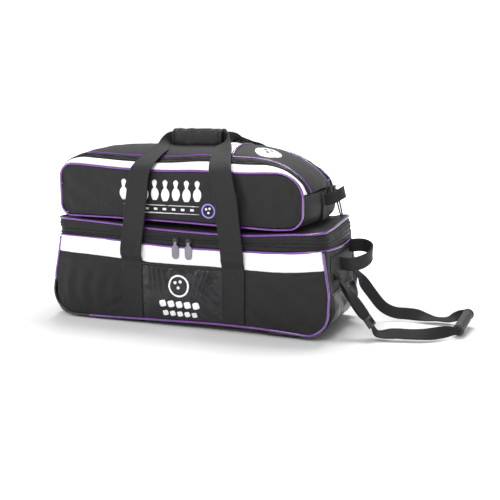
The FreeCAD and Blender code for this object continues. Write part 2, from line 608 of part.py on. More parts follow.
def pull_strap():
    """Two webbing legs from the anchors to the floor, then along it to the grip's core."""
    flat, edge = V(0, 1, 0), V(0, 0, 1)
    legs = []
    for y, bend_y in ((NEAR_Y, NEAR_Y), (FAR_Y, FAR_BEND_Y)):
        top, foot = V(PULL_X, y, PULL_Z), V(BEND_X, bend_y, BEND_Z)
        run = (foot - top).normalize()
        start, end = top + run * (6 if y < 0 else 11), foot - run * 9
        legs.append(ribbon([(start, flat, PULL_WIDTH), ((start + end) * 0.5, flat, PULL_WIDTH),
                            (end, flat, PULL_WIDTH)], PULL_T, 1))
    keep("pull_strap_upper", *legs)
    axis = (GRIP_FAR - GRIP_NEAR).normalize()
    near_end, far_end = GRIP_NEAR + axis * 3, GRIP_FAR - axis * 3
    near = ribbon([
        (V(BEND_X - 1, NEAR_Y, BEND_Z - 1), flat, PULL_WIDTH),
        (V(BEND_X + 16, NEAR_Y + 6, 4), V(0, 1, 0.8), PULL_WIDTH - 3),
        (V(BEND_X + 36, NEAR_Y + 18, 6.5), edge, PULL_WIDTH),
        (V(BEND_X + 70, NEAR_Y + 40, 6.5), edge, PULL_WIDTH),
        (V(BEND_X + 112, -NEAR_Y - 56, 7), edge, PULL_WIDTH),
        (V(GRIP_NEAR.x - 18, GRIP_NEAR.y - 2, 7), edge, PULL_WIDTH - 4),
        (near_end + V(1, 0, 0), edge, 13)], PULL_T)
    far = ribbon([
        (V(BEND_X - 1, FAR_BEND_Y, BEND_Z - 1), flat, PULL_WIDTH),
        (V(BEND_X + 18, FAR_BEND_Y + 3, 5), V(0, 1, 0.8), PULL_WIDTH - 3),
        (V(BEND_X + 42, FAR_BEND_Y + 6, 7), edge, PULL_WIDTH),
        (V(BEND_X + 88, FAR_BEND_Y + 8, 7), edge, PULL_WIDTH),
        (V(GRIP_FAR.x - 44, FAR_BEND_Y + 12, 10), V(0, -0.5, 1), PULL_WIDTH - 6),
        (V(GRIP_FAR.x - 16, GRIP_FAR.y - 2, 21), V(0, -0.3, 1), PULL_WIDTH - 10),
        (far_end + V(1, 0, 0), edge, 13)], PULL_T)
    core = rod(GRIP_NEAR, GRIP_FAR, 7)
    keep("pull_strap_lower", core.fuse([near, far]))
    first, last = GRIP_NEAR + axis * 9, GRIP_FAR - axis * 9
    bore = rod(GRIP_NEAR, GRIP_FAR, 7.08)
    grip = rod(first, last, GRIP_R - 1)
    collars = [rod(p, p + axis * 5, GRIP_R) for p in (first, last - axis * 5)]
    keep("pull_grip", grip.fuse(collars).cut(bore).removeSplitter())
    keep("strap_adjuster", adjuster(34))


def adjuster(back):
    """Plastic buckle on the near leg: two bars over the webbing and one under it."""
    along = V(BEND_X - PULL_X, 0, BEND_Z - PULL_Z).normalize()
    normal = V(-along.z, 0, along.x)
    centre = V(BEND_X, NEAR_Y, BEND_Z) - along * back
    turn = FreeCAD.Rotation(along, V(0, 1, 0), normal, "XYZ")
    half = PULL_WIDTH / 2

    def block(shift, side, lift, size):
        b = Part.makeBox(*size, V(-size[0] / 2, -size[1] / 2, -size[2] / 2))
        b.Placement = FreeCAD.Placement(centre + along * shift + V(0, side, 0) + normal * lift, turn)
        return b
    bars = [block(x, 0, 3.2, (5, 2 * half + 6, 3.2)) for x in (-9, 9)]
    bars.append(block(0, 0, -3.2, (5, 2 * half + 6, 3.2)))
    rails = [block(0, s * (half + 2.4), 0, (23, 3.4, 9.2)) for s in (-1, 1)]
    return bars[0].fuse(bars[1:] + rails).removeSplitter()


def build():
    for step in (body_panels, body_gusset, body_piping, base_stiffening, lower_zip, mesh_pocket,
                 handle_tails, wheels, feet, lid, handles, shoe_panels, shoe_gusset,
                 shoe_top_cords, shoe_end_hardware, body_end, pull_strap):
        step()
    zip_slider("left", -16)
    zip_slider("right", 16)


def export():
    os.makedirs("parts", exist_ok=True)
    for name, shapes in PARTS.items():
        solids = [s for shape in shapes for s in shape.Solids]
        node = solids[0] if len(solids) == 1 else Part.makeCompound(solids)
        bad = [s for s in solids if not s.isValid() or s.Volume <= 0]
        print(f"{name}: {len(solids)} solids, {node.Volume:.0f} mm3{' INVALID' if bad else ''}")
        node.exportStep(f"parts/{name}.step")
    print(len(PARTS), "nodes")


build()
export()
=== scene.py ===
import json
import math

import bpy
import numpy as np
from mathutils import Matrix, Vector
from mathutils.bvhtree import BVHTree


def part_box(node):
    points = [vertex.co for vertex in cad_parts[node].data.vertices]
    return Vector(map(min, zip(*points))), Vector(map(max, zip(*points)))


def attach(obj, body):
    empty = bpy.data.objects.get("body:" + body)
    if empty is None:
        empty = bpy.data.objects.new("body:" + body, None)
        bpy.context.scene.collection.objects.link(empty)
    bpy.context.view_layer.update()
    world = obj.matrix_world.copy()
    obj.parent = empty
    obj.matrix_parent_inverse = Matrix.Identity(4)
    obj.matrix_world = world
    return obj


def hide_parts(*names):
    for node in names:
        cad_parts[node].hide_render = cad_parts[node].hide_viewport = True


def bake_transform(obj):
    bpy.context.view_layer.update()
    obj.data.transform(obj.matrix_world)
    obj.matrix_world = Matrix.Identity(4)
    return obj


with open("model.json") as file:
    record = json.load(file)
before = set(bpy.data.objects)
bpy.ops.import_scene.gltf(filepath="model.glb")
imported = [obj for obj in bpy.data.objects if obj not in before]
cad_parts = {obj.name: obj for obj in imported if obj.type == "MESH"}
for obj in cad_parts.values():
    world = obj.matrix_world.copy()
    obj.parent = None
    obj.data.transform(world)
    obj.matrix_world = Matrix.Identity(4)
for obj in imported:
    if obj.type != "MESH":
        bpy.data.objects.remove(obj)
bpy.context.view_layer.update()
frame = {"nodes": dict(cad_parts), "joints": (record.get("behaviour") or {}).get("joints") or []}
NODES = frame["nodes"]
JOINTS = {j["name"]: j for j in frame["joints"]}

# ---- sizes read from the frame, in metres ----
rim_lo, rim_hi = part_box("rim_piping")
lid_lo, lid_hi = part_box("lid_piping")
CORD = (rim_hi.z - rim_lo.z) / 2
RIM_Z = (rim_lo.z + rim_hi.z) / 2
LID_Z = (lid_lo.z + lid_hi.z) / 2
RIM_X = rim_hi.x - CORD + 0.0003
RIM_Y = rim_hi.y - CORD + 0.0003
RIM_R = {-1: 0.019, 1: 0.034}  # corner radius at the left and right end
LID_LEFT = 0.0045  # how far the lid stands out past the straight taper at the left
HALF_W = -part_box("lower_front_panel")[0].y
BASE_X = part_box("body_piping")[1].x - CORD + 0.0009
BASE_R = 0.055
ZIP_Z = JOINTS["lid_open"]["pos_m"][2]
BAND_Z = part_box("lower_front_panel")[1].z
FOLD_Z = JOINTS["front_handle_drop"]["pos_m"][2]
HOUSE_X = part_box("wheel_housing")[1].x
HOUSE_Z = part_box("wheel_housing")[1].z
shoe_lo, shoe_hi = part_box("shoe_front_panel")
SHOE_X0, SHOE_X1 = shoe_lo.x - 0.0032, shoe_hi.x + 0.0032
SHOE_Z0, SHOE_Z1 = shoe_lo.z - 0.0032, shoe_hi.z + 0.0032
SHOE_Y = -shoe_lo.y
SHOE_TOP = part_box("shoe_top_panel")[1].z
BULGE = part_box("shoe_end_panels")[1].x - SHOE_X1
CROWN = SHOE_TOP - SHOE_Z1
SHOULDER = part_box("shoe_end_panels")[1].z
WHITE_Y, ZIP_Y = 0.097, 0.075
WEB_W = 0.050
STRAP_X = (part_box("handle_tails")[1].x * 2 - WEB_W) / 2
STRAP_SHIFT = {-1: -0.0015, 1: -0.0048}
STRAP_W = 0.0535


# ---- smooth pseudo-noise and curves ----
def ripple(u, v, seed, wave):
    """Smooth deterministic noise of about +-1 over plane coordinates in metres."""
    rng = np.random.RandomState(seed)
    out = np.zeros(np.broadcast(u, v).shape)
    amp, total = 1.0, 0.0
    for _ in range(3):
        for _ in range(4):
            a, ph = rng.uniform(0, math.pi), rng.uniform(0, 2 * math.pi)
            k = 2 * math.pi / (wave * rng.uniform(0.75, 1.35))
            out += amp * np.sin(k * (u * math.cos(a) + v * math.sin(a)) + ph) / 2.2
        total += amp
        amp *= 0.5
        wave *= 0.5
    return out / total


def curve(x, xs, ys):
    """Smooth curve through a few control points (cosine eased)."""
    x = np.asarray(x, float)
    i = np.clip(np.searchsorted(xs, x) - 1, 0, len(xs) - 2)
    xs, ys = np.asarray(xs, float), np.asarray(ys, float)
    t = np.clip((x - xs[i]) / (xs[i + 1] - xs[i]), 0, 1)
    slopes = np.gradient(ys, xs)
    h = xs[i + 1] - xs[i]
    a, b = ys[i], ys[i + 1]
    t2, t3 = t * t, t * t * t
    return ((2 * t3 - 3 * t2 + 1) * a + (t3 - 2 * t2 + t) * h * slopes[i]
            + (3 * t2 - 2 * t3) * b + (t3 - t2) * h * slopes[i + 1])


def ease(t):
    t = np.clip(t, 0, 1)
    return t * t * (3 - 2 * t)


def catmull(values, per):
    """Points on a smooth curve through values, per steps between each pair."""
    v = np.asarray(values, float)
    n = len(v)
    out = []
    for i in range(n - 1):
        a, b, c, d = v[max(i - 1, 0)], v[i], v[i + 1], v[min(i + 2, n - 1)]
        for k in range(per):
            f = k / per
            out.append(0.5 * (2 * b + (c - a) * f + (2 * a - 5 * b + 4 * c - d) * f ** 2
                              + (3 * b - a - 3 * c + d) * f ** 3))
    out.append(v[-1])
    return np.array(out)


def round_path(points, radii, step=0.004, closed=False):
    """Dense 3D polyline through corner points, each corner rounded with its radius."""
    pts = [np.asarray(p, float) for p in points]
    n = len(pts)
    out = []
    for i, p in enumerate(pts):
        r = radii[i]
        if r <= 0 or (not closed and i in (0, n - 1)):
            out.append(p)
            continue
        u = pts[i - 1] - p
        v = pts[(i + 1) % n] - p
        u, v = u / np.linalg.norm(u), v / np.linalg.norm(v)
        half = math.acos(float(np.clip(u @ v, -1, 1))) / 2
        centre = p + (u + v) / np.linalg.norm(u + v) * (r / math.sin(half))
        s = p + u * r / math.tan(half) - centre
        e = p + v * r / math.tan(half) - centre
        sweep = math.pi - 2 * half
        for k in range(13):
            f = k / 12
            out.append(centre + (s * math.sin((1 - f) * sweep) + e * math.sin(f * sweep))
                       / math.sin(sweep))
    if closed:
        out.append(out[0])
    return resample(np.array(out), step)


def resample(pts, step):
    seg = np.linalg.norm(np.diff(pts, axis=0), axis=1)
    s = np.concatenate([[0], np.cumsum(seg)])
    count = max(2, int(round(s[-1] / step)) + 1)
    return resample_n(pts, count)


def resample_n(pts, count):
    seg = np.linalg.norm(np.diff(pts, axis=0), axis=1)
    keep = np.concatenate([[True], seg > 1e-9])
    pts = pts[keep]
    s = np.concatenate([[0], np.cumsum(np.linalg.norm(np.diff(pts, axis=0), axis=1))])
    t = np.linspace(0, s[-1], count)
    return np.stack([np.interp(t, s, pts[:, k]) for k in range(3)], axis=1)


def arclen(pts):
    return np.concatenate([[0], np.cumsum(np.linalg.norm(np.diff(pts, axis=0), axis=1))])


def at_length(m, s, pts):
    """Point at distance m along a polyline whose vertices lie at distances s."""
    return np.array([np.interp(m, s, pts[:, k]) for k in range(3)])


def unit(v):
    """Unit vectors along the last axis."""
    v = np.asarray(v, float)
    return v / (np.linalg.norm(v, axis=-1, keepdims=True) + 1e-12)


def stack(*parts, axis=2):
    """Arrays broadcast together and stacked as coordinates."""
    return np.stack(np.broadcast_arrays(*parts), axis)


def grid(nx, ny):
    """Even (u, v) coordinates from -1 to 1."""
    return np.meshgrid(np.linspace(-1, 1, nx), np.linspace(-1, 1, ny))


# ---- mesh builders ----
def new_mesh(name, verts, faces, uvs=None):
    me = bpy.data.meshes.new(name)
    me.from_pydata([tuple(v) for v in verts], [], faces)
    me.update()
    if uvs is not None:
        layer = me.uv_layers.new(name="weave")
        idx = np.zeros(len(me.loops), int)
        me.loops.foreach_get("vertex_index", idx)
        layer.data.foreach_set("uv", np.asarray(uvs, float)[idx].ravel())
    me.polygons.foreach_set("use_smooth", [True] * len(me.polygons))
    ob = bpy.data.objects.new(name, me)
    bpy.context.scene.collection.objects.link(ob)
    return ob


def read(me, what="co"):
    """Vertex coordinates or normals of a mesh as an array."""
    out = np.zeros(len(me.vertices) * 3)
    me.vertices.foreach_get(what, out)
    return out.reshape(-1, 3)


def tube_faces(rows, sides, base=0, loop=False):
    """Quads between rings of vertices, capped at both ends unless the rings form a loop."""
    faces = []
    for i in range(rows if loop else rows - 1):
        k = (i + 1) % rows
        for j in range(sides):
            m = (j + 1) % sides
            faces.append(tuple(base + n for n in (i * sides + j, i * sides + m,
                                                  k * sides + m, k * sides + j)))
    if not loop:
        faces.append(tuple(base + j for j in range(sides))[::-1])
        faces.append(tuple(base + (rows - 1) * sides + j for j in range(sides)))
    return faces


def sheet(name, P, UV=None, flip=False, loop=False):
    """Quad sheet over a grid of points; loop joins the last column to the first."""
    P = np.asarray(P, float)
    rows, cols = P.shape[:2]
    faces = []
    for i in range(rows - 1):
        for j in range(cols if loop else cols - 1):
            k = (j + 1) % cols
            f = (i * cols + j, i * cols + k, (i + 1) * cols + k, (i + 1) * cols + j)
            faces.append(f[::-1] if flip else f)
    if UV is None:
        u = np.concatenate([np.zeros((rows, 1)), np.cumsum(
            np.linalg.norm(np.diff(P, axis=1), axis=2), axis=1)], axis=1)
        v = np.concatenate([np.zeros((1, cols)), np.cumsum(
            np.linalg.norm(np.diff(P, axis=0), axis=2), axis=0)], axis=0)
        UV = np.stack([u, v], axis=2)
    return new_mesh(name, P.reshape(-1, 3), faces, np.asarray(UV).reshape(-1, 2))


def merge(name, objs):
    """One object from several, keeping their weave coordinates."""
    verts, faces, uvs, base = [], [], [], 0
    for ob in objs:
        me = ob.data
        verts.append(read(me))
        uv = np.zeros((len(me.vertices), 2))
        if me.uv_layers:
            data = np.zeros(len(me.loops) * 2)
            me.uv_layers[0].data.foreach_get("uv", data)
            idx = np.zeros(len(me.loops), int)
            me.loops.foreach_get("vertex_index", idx)
            uv[idx] = data.reshape(-1, 2)
        uvs.append(uv)
        faces += [tuple(base + i for i in p.vertices) for p in me.polygons]
        base += len(me.vertices)
        bpy.data.objects.remove(ob)
    return new_mesh(name, np.concatenate(verts), faces, np.concatenate(uvs))


def apply_all(ob):
    """Bakes the modifiers into the mesh."""
    bpy.context.view_layer.update()
    me = bpy.data.meshes.new_from_object(ob.evaluated_get(bpy.context.evaluated_depsgraph_get()))
    ob.modifiers.clear()
    ob.data = me
    return ob


def refine(ob):
    """One level of smoothing over a simulated sheet."""
    m = ob.modifiers.new("fine", "SUBSURF")
    m.levels = m.render_levels = 1
    return apply_all(ob)


def thicken(ob, depth):
    """Gives a sheet its thickness behind its outer face, and closes its edges."""
    m = ob.modifiers.new("thick", "SOLIDIFY")
    m.thickness = depth
    m.offset = -1
    m.use_even_offset = False
    return apply_all(ob)


def normals_along(pts, closed=False):
    """Tangents and a rotation-free pair of normals along a polyline."""
    n = len(pts)
    if closed:
        tan = np.roll(pts, -1, axis=0) - np.roll(pts, 1, axis=0)
    else:
        tan = np.gradient(pts, axis=0)
    tan /= np.linalg.norm(tan, axis=1)[:, None] + 1e-12
    ref = np.array([0, 0, 1.0]) if abs(tan[0][2]) < 0.9 else np.array([0, 1.0, 0])
    nrm = np.zeros((n, 3))
    a = ref - tan[0] * (ref @ tan[0])
    nrm[0] = a / np.linalg.norm(a)
    for i in range(1, n):
        a = nrm[i - 1] - tan[i] * (nrm[i - 1] @ tan[i])
        nrm[i] = a / np.linalg.norm(a)
    return tan, nrm, np.cross(tan, nrm)


def cord(name, pts, r, closed=False, sides=12):
    """Round cord along a polyline, capped at its ends, with u along it in metres."""
    pts = np.asarray(pts, float)
    if closed:
        pts = pts[:-1]
    n = len(pts)
    _, a, b = normals_along(pts, closed)
    ang = np.arange(sides) * 2 * math.pi / sides
    rr = np.broadcast_to(np.asarray(r, float), (n,))[:, None, None]
    ring = pts[:, None] + rr * (np.cos(ang)[None, :, None] * a[:, None]
                                + np.sin(ang)[None, :, None] * b[:, None])
    verts = ring.reshape(-1, 3)
    uv = stack(arclen(pts)[:, None], (ang * float(np.mean(r)))[None, :]).reshape(-1, 2)
    return new_mesh(name, verts, tube_faces(n, sides, loop=closed), uv)


def ribbon(name, stations, thick=0.0026, per=6, across=9, curl=0.0, wob=0.0, seed=1):
    """Webbing with rounded edges through stations of (centre, width direction, width)."""
    c = catmull([s[0] for s in stations], per)
    w = catmull([unit(s[1]) for s in stations], per)
    wid = catmull([[s[2]] for s in stations], per)[:, 0]
    tan = unit(np.gradient(c, axis=0))
    w = unit(w - tan * np.sum(w * tan, axis=1)[:, None])
    t = np.cross(tan, w)
    s = arclen(c)
    f = np.linspace(-1, 1, across)
    flat = np.maximum(wid - thick, 1e-4)[:, None] / 2 * f[None, :]
    bow = curl * (1 - f[None, :] ** 2) + wob * ripple(s[:, None], flat, seed, 0.06)
    sides = []
    for sign in (1, -1):
        off = sign * thick / 2 + bow
        P = c[:, None] + w[:, None] * flat[..., None] + t[:, None] * off[..., None]
        sides.append(P if sign == 1 else P[:, ::-1])
    mids = []
    for sign in (1, -1):
        lift = bow[:, 0 if sign < 0 else -1][:, None]
        mids.append((c + w * (sign * wid / 2)[:, None] + t * lift)[:, None])
    ring = np.concatenate([sides[0], mids[0], sides[1], mids[1]], axis=1)
    u = np.concatenate([f, [1.0], f[::-1], [-1.0]])[None, :] * wid[:, None] / 2
    v = np.broadcast_to(s[:, None], u.shape)
    faces = [f[::-1] for f in tube_faces(*ring.shape[:2])]
    return new_mesh(name, ring.reshape(-1, 3), faces, np.stack([u, v], 2).reshape(-1, 2))


STITCH_PITCH, STITCH_LENGTH, STITCH_R = 0.0036, 0.0024, 0.00042
STITCH_PROFILE = ((-0.5, 0.15), (-0.38, 0.75), (0, 1.0), (0.38, 0.75), (0.5, 0.15))


def stitches(name, paths, body, slot_name):
    """Rows of thread stitches: short rounded beads laid along polylines."""
    verts, faces, sides = [], [], 5
    for pts in paths:
        pts = np.asarray(pts, float)
        s = arclen(pts)
        count = int(s[-1] / STITCH_PITCH)
        for k in range(count):
            m = (k + 0.5) * s[-1] / count
            ends = [at_length(m + f * STITCH_LENGTH, s, pts) for f in (-0.5, 0.5)]
            d = unit(ends[1] - ends[0])
            ref = np.array([0, 0, 1.0]) if abs(d[2]) < 0.8 else np.array([0, 1.0, 0])
            a = unit(np.cross(d, ref))
            b = np.cross(d, a)
            faces += tube_faces(len(STITCH_PROFILE), sides, len(verts))
            for f, fat in STITCH_PROFILE:
                for ang in 2 * math.pi * np.arange(sides) / sides:
                    verts.append((ends[0] + ends[1]) / 2 + d * f * STITCH_LENGTH
                                 + (a * math.cos(ang) + b * math.sin(ang)) * STITCH_R * fat)
    return dress(new_mesh(name, verts, faces), "thread", body, slot_name)


# ---- materials ----
MATS = {}


class Graph:
    """Small helper for building a material's node tree."""

    def __init__(self, name):
        self.mat = MATS[name] = bpy.data.materials.new(name)
        self.mat.use_nodes = True
        self.nt = self.mat.node_tree
        self.bsdf = self.nt.nodes["Principled BSDF"]
        self.coord = self.nt.nodes.new("ShaderNodeTexCoord")

    def node(self, kind, **kw):
        n = self.nt.nodes.new(kind)
        for k, v in kw.items():
            if k in n.inputs:
                n.inputs[k].default_value = v
            else:
                setattr(n, k, v)
        return n

    def link(self, a, b):
        self.nt.links.new(a, b)

    def feed(self, **inputs):
        """Values or sockets for the shader's inputs, an underscore standing for a space."""
        for k, v in inputs.items():
            socket = self.bsdf.inputs[k.replace("_", " ")]
            if hasattr(v, "links"):
                self.link(v, socket)
            else:
                socket.default_value = v

    def math(self, op, a, b, clamp=False):
        n = self.node("ShaderNodeMath", operation=op, use_clamp=clamp)
        for i, x in enumerate((a, b)):
            if hasattr(x, "links"):
                self.link(x, n.inputs[i])
            else:
                n.inputs[i].default_value = x
        return n.outputs[0]

    def blend(self, a, share_a, b, share_b):
        """Weighted sum of two sockets."""
        return self.math("ADD", self.math("MULTIPLY", a, share_a),
                         self.math("MULTIPLY", b, share_b))

    def wave(self, vec, axis, period):
        n = self.node("ShaderNodeTexWave", wave_type="BANDS", bands_direction=axis,
                      Scale=2 * math.pi / (20 * period), Distortion=0.0)
        self.link(vec, n.inputs["Vector"])
        return n.outputs["Fac"]

    def noise(self, vec, scale, detail):
        n = self.node("ShaderNodeTexNoise", Scale=scale, Detail=detail, Roughness=0.55)
        self.link(vec, n.inputs["Vector"])
        return n.outputs["Fac"]

    def ramp(self, fac, stops):
        n = self.node("ShaderNodeValToRGB")
        self.link(fac, n.inputs[0])
        el = n.color_ramp.elements
        while len(el) < len(stops):
            el.new(0.5)
        for e, (p, c) in zip(el, stops):
            e.position = p
            e.color = (*c, 1.0)
        return n.outputs[0]

    def bump(self, height, strength, distance, below=None):
        n = self.node("ShaderNodeBump", Strength=strength, Distance=distance)
        self.link(height, n.inputs["Height"])
        if below is not None:
            self.link(below, n.inputs["Normal"])
        return n.outputs[0]

    def scalar(self, fac, lo, hi):
        n = self.node("ShaderNodeMapRange")
        n.inputs["To Min"].default_value = lo
        n.inputs["To Max"].default_value = hi
        self.link(fac, n.inputs["Value"])
        return n.outputs[0]


def shade(c, k):
    """A colour times a factor, kept within range."""
    return tuple(min(1.0, x * k) for x in c)


def woven(name, color, period=0.0011, rough=0.62, sheen=0.25, relief=0.55, patchy=0.22,
          coat=0.0, uv=True, worn=0.18, gloss=0.26):
    """Plain-woven cloth: crossing threads, uneven dye, light fuzz and paler worn ridges."""
    g = Graph(name)
    vec, obj = g.coord.outputs["UV" if uv else "Object"], g.coord.outputs["Object"]
    up = "Y" if uv else "Z"
    over = g.math("MAXIMUM", g.math("MULTIPLY", g.wave(vec, "X", period), 0.9),
                  g.wave(vec, up, period))
    cells = g.math("MULTIPLY", g.wave(vec, "X", period * 2), g.wave(vec, up, period * 2))
    threads = g.blend(over, 0.7, cells, 0.4)
    mix = g.blend(g.noise(obj, 9.0, 4.0), 0.7, g.noise(obj, 900.0, 2.0), 0.3)
    base = g.ramp(mix, [(0.3, shade(color, 1 - patchy)), (0.7, shade(color, 1 + patchy))])
    tint = g.node("ShaderNodeMixRGB", blend_type="MULTIPLY")
    tint.inputs[0].default_value = 0.35
    g.link(base, tint.inputs[1])
    g.link(g.ramp(threads, [(0.15, (0.55,) * 3), (0.9, (1.15,) * 3)]), tint.inputs[2])
    ridge = g.scalar(g.node("ShaderNodeNewGeometry").outputs["Pointiness"], -3.2, 3.9)
    wear = g.node("ShaderNodeMixRGB", blend_type="MIX")
    g.link(g.math("MULTIPLY", ridge, worn, clamp=True), wear.inputs[0])
    g.link(tint.outputs[0], wear.inputs[1])
    wear.inputs[2].default_value = (*shade(color, 2.2), 1)
    soft = g.bump(g.noise(obj, 60.0, 3.0), 0.25, 0.0012)
    g.feed(Base_Color=wear.outputs[0], Roughness=g.scalar(mix, rough - 0.08, rough + 0.08),
           Specular_IOR_Level=gloss, Sheen_Weight=sheen, Sheen_Roughness=0.45,
           Coat_Weight=coat, Coat_Roughness=0.22, Normal=g.bump(threads, relief, 0.00022, soft))


def webbing(name, color):
    """Ribbed webbing: ribs across, long grooves, uneven dye."""
    g = Graph(name)
    vec, obj = g.coord.outputs["UV"], g.coord.outputs["Object"]
    weave = g.math("ADD", g.math("MULTIPLY", g.wave(vec, "Y", 0.0019), 0.55),
                   g.blend(g.wave(vec, "X", 0.0026), 0.3, g.wave(vec, "X", 0.0009), 0.15))
    dye = g.noise(obj, 14.0, 4.0)
    base = g.ramp(g.blend(dye, 0.6, weave, 0.4),
                  [(0.25, shade(color, 0.6)), (0.75, shade(color, 1.35))])
    g.feed(Base_Color=base, Roughness=g.scalar(dye, 0.55, 0.70), Specular_IOR_Level=0.26,
           Sheen_Weight=0.05, Sheen_Roughness=0.4, Normal=g.bump(weave, 0.75, 0.0004))


def vinyl(name, color):
    """Glossy coated cord: deep colour, clear coat, faint lengthwise crinkle."""
    g = Graph(name)
    obj = g.coord.outputs["Object"]
    tone = g.noise(obj, 25.0, 3.0)
    g.feed(Base_Color=g.ramp(tone, [(0.3, shade(color, 0.75)), (0.7, shade(color, 1.35))]),
           Roughness=g.scalar(tone, 0.16, 0.26), Coat_Weight=1.0, Coat_Roughness=0.16,
           Coat_IOR=1.7, Normal=g.bump(g.noise(obj, 420.0, 2.0), 0.25, 0.0004))


def moulded(name, color, rough=0.5, grain=1400.0, depth=0.00012, metallic=0.0, coat=0.0,
            scratch=0.0):
    """Moulded plastic, rubber or lacquered metal with a fine surface grain."""
    g = Graph(name)
    obj = g.coord.outputs["Object"]
    tone = g.noise(obj, 35.0, 4.0)
    fine = g.bump(g.noise(obj, grain, 2.0), 0.35, depth)
    if scratch:
        long = g.node("ShaderNodeMapping")
        long.inputs["Scale"].default_value = (1, 1, 0.06)
        g.link(obj, long.inputs["Vector"])
        fine = g.bump(g.noise(long.outputs[0], 2200.0, 2.0), scratch, 0.0001, fine)
    g.feed(Base_Color=g.ramp(tone, [(0.3, shade(color, 0.85)), (0.7, shade(color, 1.2))]),
           Roughness=g.scalar(tone, rough - 0.07, rough + 0.07), Metallic=metallic,
           Coat_Weight=coat, Normal=fine)


BLACK = (0.0105, 0.0105, 0.0115)
woven("black_polyester", BLACK, 0.0011, 0.62, 0.07, 0.5)
woven("black_lining", (0.009, 0.009, 0.010), 0.0014, 0.75, 0.05, 0.4)
woven("pocket_cloth", (0.0045, 0.0045, 0.0060), 0.0014, 0.30, 0.02, 0.3, 0.3, 0.10, gloss=0.4)
woven("white_coated", (0.86, 0.86, 0.87), 0.0009, 0.38, 0.1, 0.18, 0.03, 0.35, worn=0.0)
woven("wrap_cloth", (0.012, 0.012, 0.013), 0.0012, 0.5, 0.08, 0.4)
woven("zip_tape_cloth", (0.009, 0.009, 0.010), 0.0008, 0.5, 0.04, 0.5)
woven("hook_pile", (0.010, 0.010, 0.011), 0.0016, 0.9, 0.2, 1.0, 0.3, uv=False)
webbing("black_webbing", (0.0125, 0.0125, 0.0130))
webbing("end_webbing", (0.021, 0.021, 0.022))
vinyl("purple_vinyl", (0.110, 0.016, 0.205))
moulded("coil_nylon", (0.018, 0.019, 0.017), 0.34, 900.0)
moulded("black_plastic", (0.009, 0.009, 0.0095), 0.38, 1500.0, coat=0.25)
moulded("hub_plastic", (0.03, 0.03, 0.032), 0.5, 1500.0)
moulded("tyre_urethane", (0.012, 0.012, 0.0125), 0.6, 700.0)
moulded("foot_rubber", (0.02, 0.02, 0.02), 0.8, 900.0)
moulded("grip_rubber", (0.040, 0.041, 0.044), 0.55, 1100.0, 0.0003)
moulded("tray_foam", (0.045, 0.045, 0.05), 0.92, 500.0, 0.0006)
moulded("board_plastic", (0.04, 0.04, 0.042), 0.6, 300.0, 0.0004)
moulded("pull_metal", (0.185, 0.178, 0.215), 0.4, 1800.0, 0.00006, 0.6, 0.1, 0.15)
moulded("dark_metal", (0.035, 0.035, 0.038), 0.35, 1800.0, 0.00006, 0.8)
moulded("steel", (0.5, 0.5, 0.52), 0.32, 1800.0, 0.00006, 1.0, 0.0, 0.25)
moulded("braided_cord", (0.012, 0.012, 0.013), 0.6, 700.0, 0.0008)
moulded("thread", (0.022, 0.022, 0.024), 0.6, 2500.0)
moulded("print_white", (0.80, 0.80, 0.82), 0.42, 1300.0, 0.00005)
moulded("print_dark", (0.02, 0.02, 0.024), 0.5, 1300.0, 0.00005)
moulded("print_violet", (0.26, 0.19, 0.60), 0.4, 1300.0, 0.00005)


def dress(ob, mat, body=None, slot=None, *stand_for):
    """Material, body and the CAD nodes that a piece stands for; slot is not used."""
    ob.data.materials.clear()
    ob.data.materials.append(MATS[mat])
    if body:
        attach(ob, body)
    if stand_for:
        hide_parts(*stand_for)
    return ob


# ---- how the loaded seams sag: the ends are stiff, the middle hangs ----
FRONT_X = [-0.33, -0.155, -0.097, 0.0, 0.085, 0.150, 0.246, 0.33]


def front_share(y):
    """1 on the front face, fading to 0 at the back."""
    return ease((0.02 - np.asarray(y, float)) / (0.02 + 0.12))


def rim_lift(x, y):
    """Sag of the rim cord."""
    front = curve(x, FRONT_X, np.array([6, 0.5, -3, -6, -6.5, -5.5, -3, 6]) * 1e-3)
    back = 0.003 - 0.006 * (1 - (np.asarray(x) / 0.33) ** 2)
    k = front_share(y)
    end = ease((np.abs(x) - 0.27) / 0.05)
    dip = -0.003 * end * (1 - (np.asarray(y) / 0.13) ** 2)
    return front * k + back * (1 - k) + dip


def lid_lift(x, y):
    """Sag of the lid cord, with a wave along its right end."""
    front = curve(x, FRONT_X, np.array([2, -7, -11, -14.5, -16, -15.5, -8.5, -3]) * 1e-3)
    k = ease((-np.asarray(y, float) - 0.02) / 0.09)
    right = ease((np.asarray(x, float) - 0.27) / 0.05)
    y = np.asarray(y, float)
    wavy = (0.0125 * ease((y + 0.11) / 0.23) - 0.0050) * right * (1 - k)
    back = 0.002 * np.sin(np.asarray(x) * 11)
    return front * k + (back * (1 - right) + wavy) * (1 - k)


def base_lift(x, y):
    """How far the lower edge of a face rises from the floor; half as far at the back."""
    front = curve(x, [-0.33, -0.25, -0.067, 0.13, 0.16, 0.247, 0.30, 0.34],
                  np.array([0, 0, 6, 10.5, 10, 7, 3, 0]) * 1e-3)
    edge = ease((np.abs(y) - 0.085) / 0.04)
    k = np.where(np.asarray(y) < 0, 1.0, 0.5)
    return front * edge * k


def band_lift(x):
    """Sag of the white band's lower seam."""
    return curve(x, [-0.33, -0.16, -0.10, 0.09, 0.15, 0.246, 0.33],
                 np.array([10, 2.5, -1, -1.5, -3, -2.5, 7.5]) * 1e-3)


def shoe_top_lift(x):
    """Sag of the shoe bag's upper front seam."""
    return curve(x, [-0.33, -0.29, -0.156, -0.067, 0.055, 0.117, 0.214, 0.29],
                 np.array([6, 6, -2, -5, -3, -5, -3, -3]) * 1e-3)


